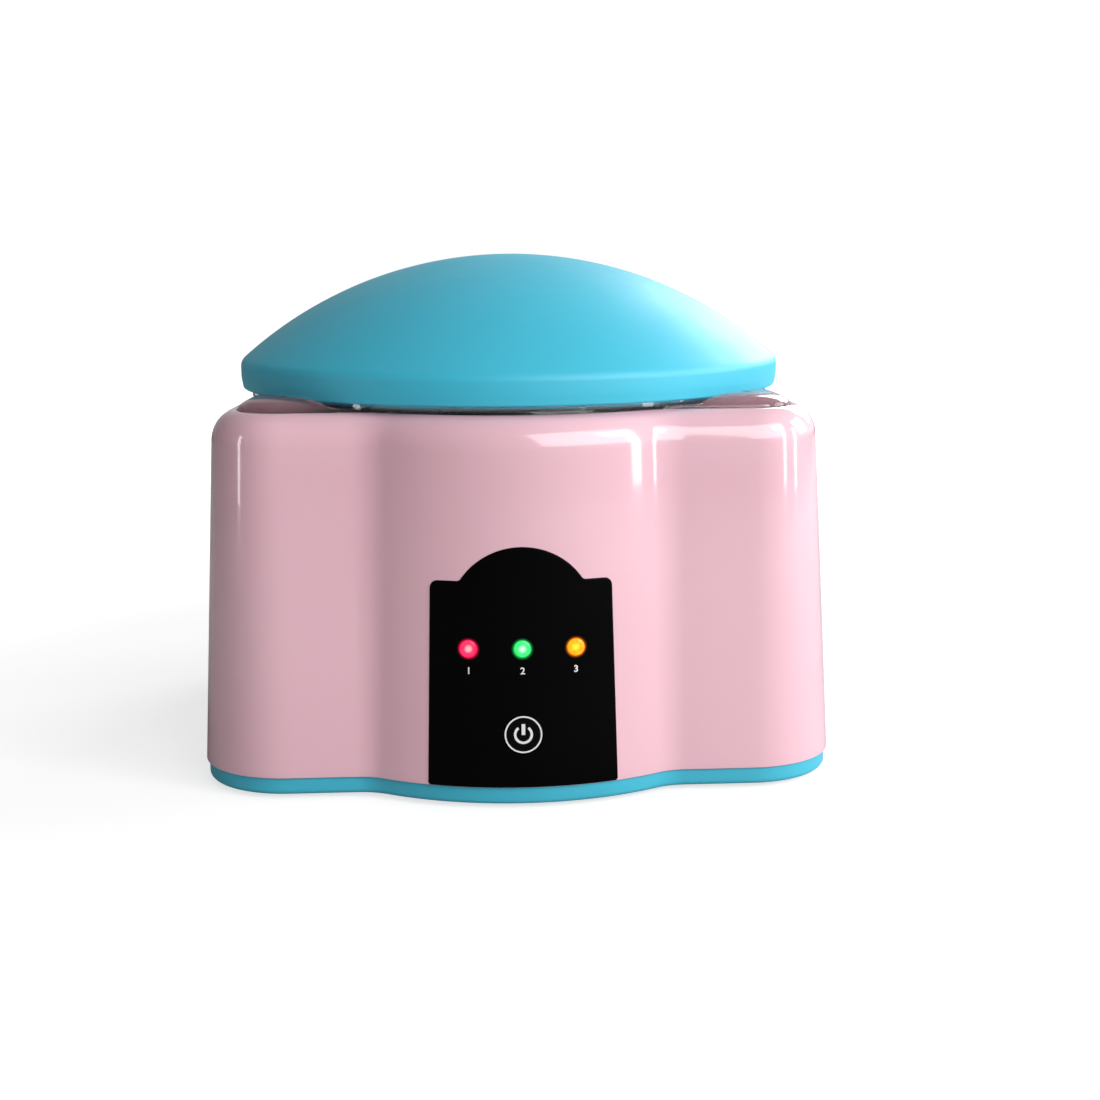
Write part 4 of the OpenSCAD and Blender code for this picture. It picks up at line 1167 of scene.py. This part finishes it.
def buildLid():
    s = lid
    r, low, foot = s["radius"], s["low"], s["foot"]
    outer = r - s["taper"]
    inner = outer - s["thick"]
    profile = [(inner, low + s["rimEdge"]), (inner + s["rimEdge"], low)]
    profile += rounded(outer - foot, low + foot, foot, -90, 0, 8)
    profile += [(outer + s["taper"] * 0.6, low + s["rimStart"]), (r, low + s["rimFull"])]
    profile += domeSide(0) + list(reversed(domeSide(s["thick"])))
    profile += [(r - s["thick"], low + s["rimFull"]), (inner, low + s["rimEdge"])]
    points, faces = lathe(profile, 240)
    addPiece("domedLid", points, faces, lidPlastic, "lid", ["lid_shell"], 30)
    # the inner dome with its collar
    gap, e, out, foot = s["thick"] + s["linerGap"], s["collarEdge"], s["collar"], s["collarLow"]
    inner = out - s["collarThick"]
    zOut = domeCentre + math.sqrt((domeRadius - gap) ** 2 - out ** 2)
    zIn = domeCentre + math.sqrt((domeRadius - gap - s["linerThick"]) ** 2 - inner ** 2)
    profile = [(inner, foot + e), (inner + e, foot), (out - e, foot), (out, foot + e), (out, zOut)]
    profile += [p for p in domeSide(gap) if p[0] < out - 1]
    profile += [p for p in reversed(domeSide(gap + s["linerThick"])) if p[0] < inner - 1]
    profile += [(inner, zIn), (inner, foot + e)]
    points, faces = lathe(profile, 180)
    addPiece("lidLiner", points, faces, lidPlastic, "lid", ["lid_liner"], 30)


buildLid()
print("lid built")

bowl = {
    "rim": 79.4,
    "neck": 75.0,
    "low": 69.0,
    "bend": 11.0,
    "floor": 80.0,
    "well": 40.0,
    "wellLevel": 72.0,
    "sheet": 1.2,
    "top": 116.3,
    "stud": 34.0,
    "studRadius": 2.0,
    "studLow": 59.0,
}
bowlFinish = {
    "name": "spunAluminium",
    "tones": ((200, 202, 204), (212, 213, 215)),
    "roughness": (0.24, 0.34),
    "ringScale": 260,
    "waver": 1.5,
    "cloudScale": 30,
    "brush": 0.12,
}


def bowlSide(t):
    b = bowl
    r = b["bend"] - t
    side = [(b["neck"] - t, b["top"] - (0 if t else b["sheet"]))]
    side += rounded(b["low"] - b["bend"], b["floor"] + b["bend"], r, 0, -90, 14)
    side += [(b["well"] - t + 0.6, b["floor"] + t), (b["well"] - t - 0.2, b["floor"] + t - 0.5)]
    side += [(b["well"] - t - 1.3, b["wellLevel"] + t + 0.6), (b["well"] - t - 1.9, b["wellLevel"] + t)]
    return side


def buildBowl():
    b = bowl
    profile = [(b["rim"], b["top"] - 0.2), (b["rim"] - 0.2, b["top"] - b["sheet"])]
    profile += bowlSide(0) + [(0, b["wellLevel"]), (0, b["wellLevel"] + b["sheet"])]
    profile += list(reversed(bowlSide(b["sheet"])))
    profile += [(b["rim"] - 0.3, b["top"]), (b["rim"], b["top"] - 0.2)]
    points, faces = lathe(profile, 160)
    # the two studs that hold the heater
    r, foot, head = b["studRadius"], b["studLow"], b["wellLevel"] + 0.1
    stud, studFaces = lathe([(0, foot), (r - 0.3, foot), (r, foot + 0.3), (r, head), (0, head)], 32)
    for s in (-1, 1):
        extend(points, faces, [(x + s * b["stud"], y, z) for x, y, z in stud], studFaces)
    addPiece("steamBowl", points, faces, spunMetal(bowlFinish), "housing", ["steam_bowl"], 30)


buildBowl()
print("bowl built")

# finishes of the inner parts and fixings that keep their own shape
innerFinishes = {
    "silicone_white": {"name": "whiteSilicone", "tones": ((226, 226, 222), (236, 236, 232)),
                       "roughness": (0.55, 0.7), "grain": 0.3, "grainScale": 1500},
    "switch_black": {"name": "blackMoulding", "tones": ((34, 34, 37), (46, 46, 49)),
                     "roughness": (0.4, 0.55), "grain": 0.3, "grainScale": 2400},
    "fuse_ceramic": {"name": "whiteCeramic", "tones": ((230, 224, 208), (240, 236, 224)),
                     "roughness": (0.5, 0.7), "grain": 0.4, "grainScale": 1800},
    "jack_black": {"name": "blackNylon", "tones": ((20, 20, 22), (30, 30, 32)),
                   "roughness": (0.35, 0.5), "grain": 0.25, "grainScale": 3000},
    "circuit_board": {"name": "greenSolderMask", "tones": ((20, 92, 50), (30, 112, 62)),
                      "driftScale": 160, "roughness": (0.25, 0.4), "grain": 0.3, "grainScale": 900},
    "relay_blue": {"name": "blueRelayCase", "tones": ((28, 78, 160), (36, 90, 176)),
                   "roughness": (0.3, 0.4), "grain": 0.2, "grainScale": 2000},
    "choke_brown": {"name": "enamelledWinding", "tones": ((112, 62, 26), (158, 92, 44)),
                    "driftScale": 500, "roughness": (0.25, 0.4), "grain": 0.8, "grainScale": 700},
    "terminal_green": {"name": "greenTerminal", "tones": ((40, 130, 82), (50, 146, 94)),
                       "roughness": (0.35, 0.5), "grain": 0.2, "grainScale": 2200},
    "lamp_block_white": {"name": "whiteCarrier", "tones": ((224, 224, 218), (234, 234, 230)),
                         "roughness": (0.45, 0.6), "grain": 0.2, "grainScale": 2400},
    "panel_black": keyFinish,
}
metalFinishes = {
    "heater_aluminium": {"name": "castAluminium", "tones": ((150, 152, 156), (176, 178, 181)),
                         "roughness": (0.4, 0.6), "brush": 0.5, "brushScale": 1400, "stretch": (1, 1, 1)},
    "bracket_steel": {"name": "zincSheet", "tones": ((168, 170, 172), (190, 192, 194)),
                      "roughness": (0.3, 0.45), "brush": 0.3, "brushScale": 900, "stretch": (0.1, 1, 1)},
    "fastener_steel": {"name": "zincScrews", "tones": ((178, 180, 184), (204, 206, 209)),
                       "roughness": (0.22, 0.36), "brush": 0.2, "brushScale": 2400, "stretch": (1, 1, 0.3)},
    "pin_brass": {"name": "platedBrass", "tones": ((206, 190, 132), (222, 208, 156)),
                  "roughness": (0.18, 0.3), "brush": 0.2, "brushScale": 2600, "stretch": (1, 0.2, 1)},
}
innerMaterials = {name: mouldedPlastic(spec) for name, spec in innerFinishes.items()}
innerMaterials.update({name: brushedMetal(spec) for name, spec in metalFinishes.items()})
slotOf = {part["node"]: part["material_slot"] for part in frame["record"]["subparts"]}
for node, piece in cadNodes.items():
    material = innerMaterials.get(slotOf[node])
    if material:
        piece.data.materials.clear()
        piece.data.materials.append(material)
print("inner parts given their finishes")

# camera at the photograph's place
view = {
    "place": (-0.01671, -0.57948, 0.16765),
    "right": (0.99854, -0.05356, -0.00664),
    "up": (0.01627, 0.18141, 0.98327),
    "lens": 54.41,
    "sensor": 36,
    "nearest": 0.01,
}


def addCamera():
    camera = bpy.data.cameras.new("camera")
    camera.lens = view["lens"]
    camera.sensor_width = view["sensor"]
    camera.clip_start = view["nearest"]
    holder = bpy.data.objects.new("camera", camera)
    bpy.context.collection.objects.link(holder)
    right = Vector(view["right"]).normalized()
    up = Vector(view["up"]).normalized()
    back = right.cross(up).normalized()
    up = back.cross(right)
    turn = Matrix((right, up, back)).transposed().to_4x4()
    holder.matrix_world = Matrix.Translation(view["place"]) @ turn
    bpy.context.scene.camera = holder


addCamera()

lights = {
    "backWindow": {"place": (0.75, 0.95, 0.62), "aim": (0.0, 0.0, 0.12), "size": (0.8, 0.6), "power": 9.5},
    "sideWindow": {"place": (1.15, 0.12, 0.52), "aim": (0.0, 0.0, 0.10), "size": (0.5, 0.6), "power": 5.5},
    "frontWindow": {"place": (0.90, -0.70, 0.72), "aim": (0.04, -0.09, 0.10), "size": (0.34, 0.24),
                    "power": 2.6, "tint": (1.0, 0.99, 0.98)},
    "windowGap": {"place": (0.91, -0.59, 0.27), "aim": (0.04, -0.09, 0.10), "size": (0.10, 0.46),
                  "power": 1.2},
    "sideStrip": {"place": (1.07, -0.26, 0.26), "aim": (0.08, -0.08, 0.09), "size": (0.10, 0.48),
                  "power": 1.2},
    "leftStrip": {"place": (-1.02, -0.42, 0.26), "aim": (-0.08, -0.08, 0.09), "size": (0.08, 0.48),
                  "power": 0.8},
    "softFront": {"place": (1.0, -1.40, 0.90), "aim": (0.0, 0.0, 0.08), "size": (1.7, 1.3), "power": 26.5,
                  "tint": (1.0, 0.99, 0.98)},
}


def addLight(name, spec):
    lamp = bpy.data.lights.new(name, "AREA")
    lamp.shape = "RECTANGLE"
    lamp.size, lamp.size_y = spec["size"]
    lamp.energy = spec["power"]
    lamp.color = spec.get("tint", (1.0, 1.0, 1.0))
    holder = bpy.data.objects.new(name, lamp)
    bpy.context.collection.objects.link(holder)
    place = Vector(spec["place"])
    way = (Vector(spec["aim"]) - place).normalized()
    holder.matrix_world = Matrix.Translation(place) @ way.to_track_quat("-Z", "Y").to_matrix().to_4x4()


for name, spec in lights.items():
    addLight(name, spec)

# strength of the room's light at each end: low, high, and where along X they are reached
ambient = {"soft": (0.16, 0.30, -1, 1), "gloss": (0.10, 0.95, -0.8, 0.6), "tint": (1.0, 0.99, 0.99, 1.0)}
floorSpec = {
    "glow": (0.70, 1.0, 0.22, 0.75),   # near, far, and the distances in metres where they are reached
    "paint": 0.45,
    "rings": (60, 200, 600, 1500, 6000),
    "segments": 96,
}


def seenBy(tree, *rays):
    # 1 for the kinds of ray that are named
    path = addNode(tree, "LightPath", {})
    total = path.outputs[rays[0]]
    for ray in rays[1:]:
        total = addNode(tree, "Math", {0: total, 1: path.outputs[ray]}, operation="MAXIMUM").outputs[0]
    return total


def emptyTree(block):
    block.use_nodes = True
    block.node_tree.nodes.clear()
    return block.node_tree


def addWorld():
    world = bpy.data.worlds.new("studio")
    bpy.context.scene.world = world
    tree = emptyTree(world)
    # the room is brighter on the right, where its windows are
    place = addNode(tree, "TexCoord", {}).outputs["Generated"]
    across = addNode(tree, "SeparateXYZ", {0: place}).outputs["X"]

    def roomLight(kind):
        strength = spread(tree, across, *ambient[kind])
        return addNode(tree, "Background", {"Color": ambient["tint"], "Strength": strength})

    soft, gloss = roomLight("soft"), roomLight("gloss")
    fade = {"Fac": seenBy(tree, "Is Glossy Ray"), 1: soft.outputs[0], 2: gloss.outputs[0]}
    room = addNode(tree, "MixShader", fade)
    white = addNode(tree, "Background", {"Strength": 1.0, "Color": (1, 1, 1, 1)})
    seen = seenBy(tree, "Is Camera Ray", "Is Transmission Ray")
    mix = addNode(tree, "MixShader", {"Fac": seen, 1: room.outputs[0], 2: white.outputs[0]})
    addNode(tree, "OutputWorld", {"Surface": mix.outputs[0]})


def addFloor():
    # a wide pale floor that keeps the soft shadow
    f = floorSpec
    count = f["segments"]
    points, faces = band([[(x, y, 0.0) for x, y in circlePoints(0, 0, r, count)] for r in f["rings"]])
    points.append((0.0, 0.0, 0.0))
    faces += [(i, (i + 1) % count, len(points) - 1) for i in range(count)]
    mesh = bpy.data.meshes.new("studioFloor")
    mesh.from_pydata([tuple(c * mm for c in p) for p in points], [], faces)
    material = bpy.data.materials.new("paleFloor")
    tree = emptyTree(material)
    low, high = ((f["paint"] + d,) * 3 + (1,) for d in (-0.01, 0.01))
    paint = addNode(tree, "BsdfDiffuse", {"Color": ramp(tree, noise(tree, 3, 2), [(0.3, low), (0.7, high)])})
    away = addNode(tree, "VectorMath", {0: objectPlace(tree)}, operation="LENGTH").outputs["Value"]
    seen = seenBy(tree, "Is Camera Ray", "Is Transmission Ray")
    lift = addNode(tree, "Math", {0: seen, 1: spread(tree, away, *f["glow"])}, operation="MULTIPLY")
    light = addNode(tree, "Emission", {"Strength": lift.outputs[0]})
    both = addNode(tree, "AddShader", {0: paint.outputs[0], 1: light.outputs[0]})
    addNode(tree, "OutputMaterial", {"Surface": both.outputs[0]})
    mesh.materials.append(material)
    floor = bpy.data.objects.new("studioFloor", mesh)
    bpy.context.collection.objects.link(floor)


addWorld()
addFloor()
bpy.context.scene.view_settings.view_transform = "Standard"
print("camera, lights and floor placed")
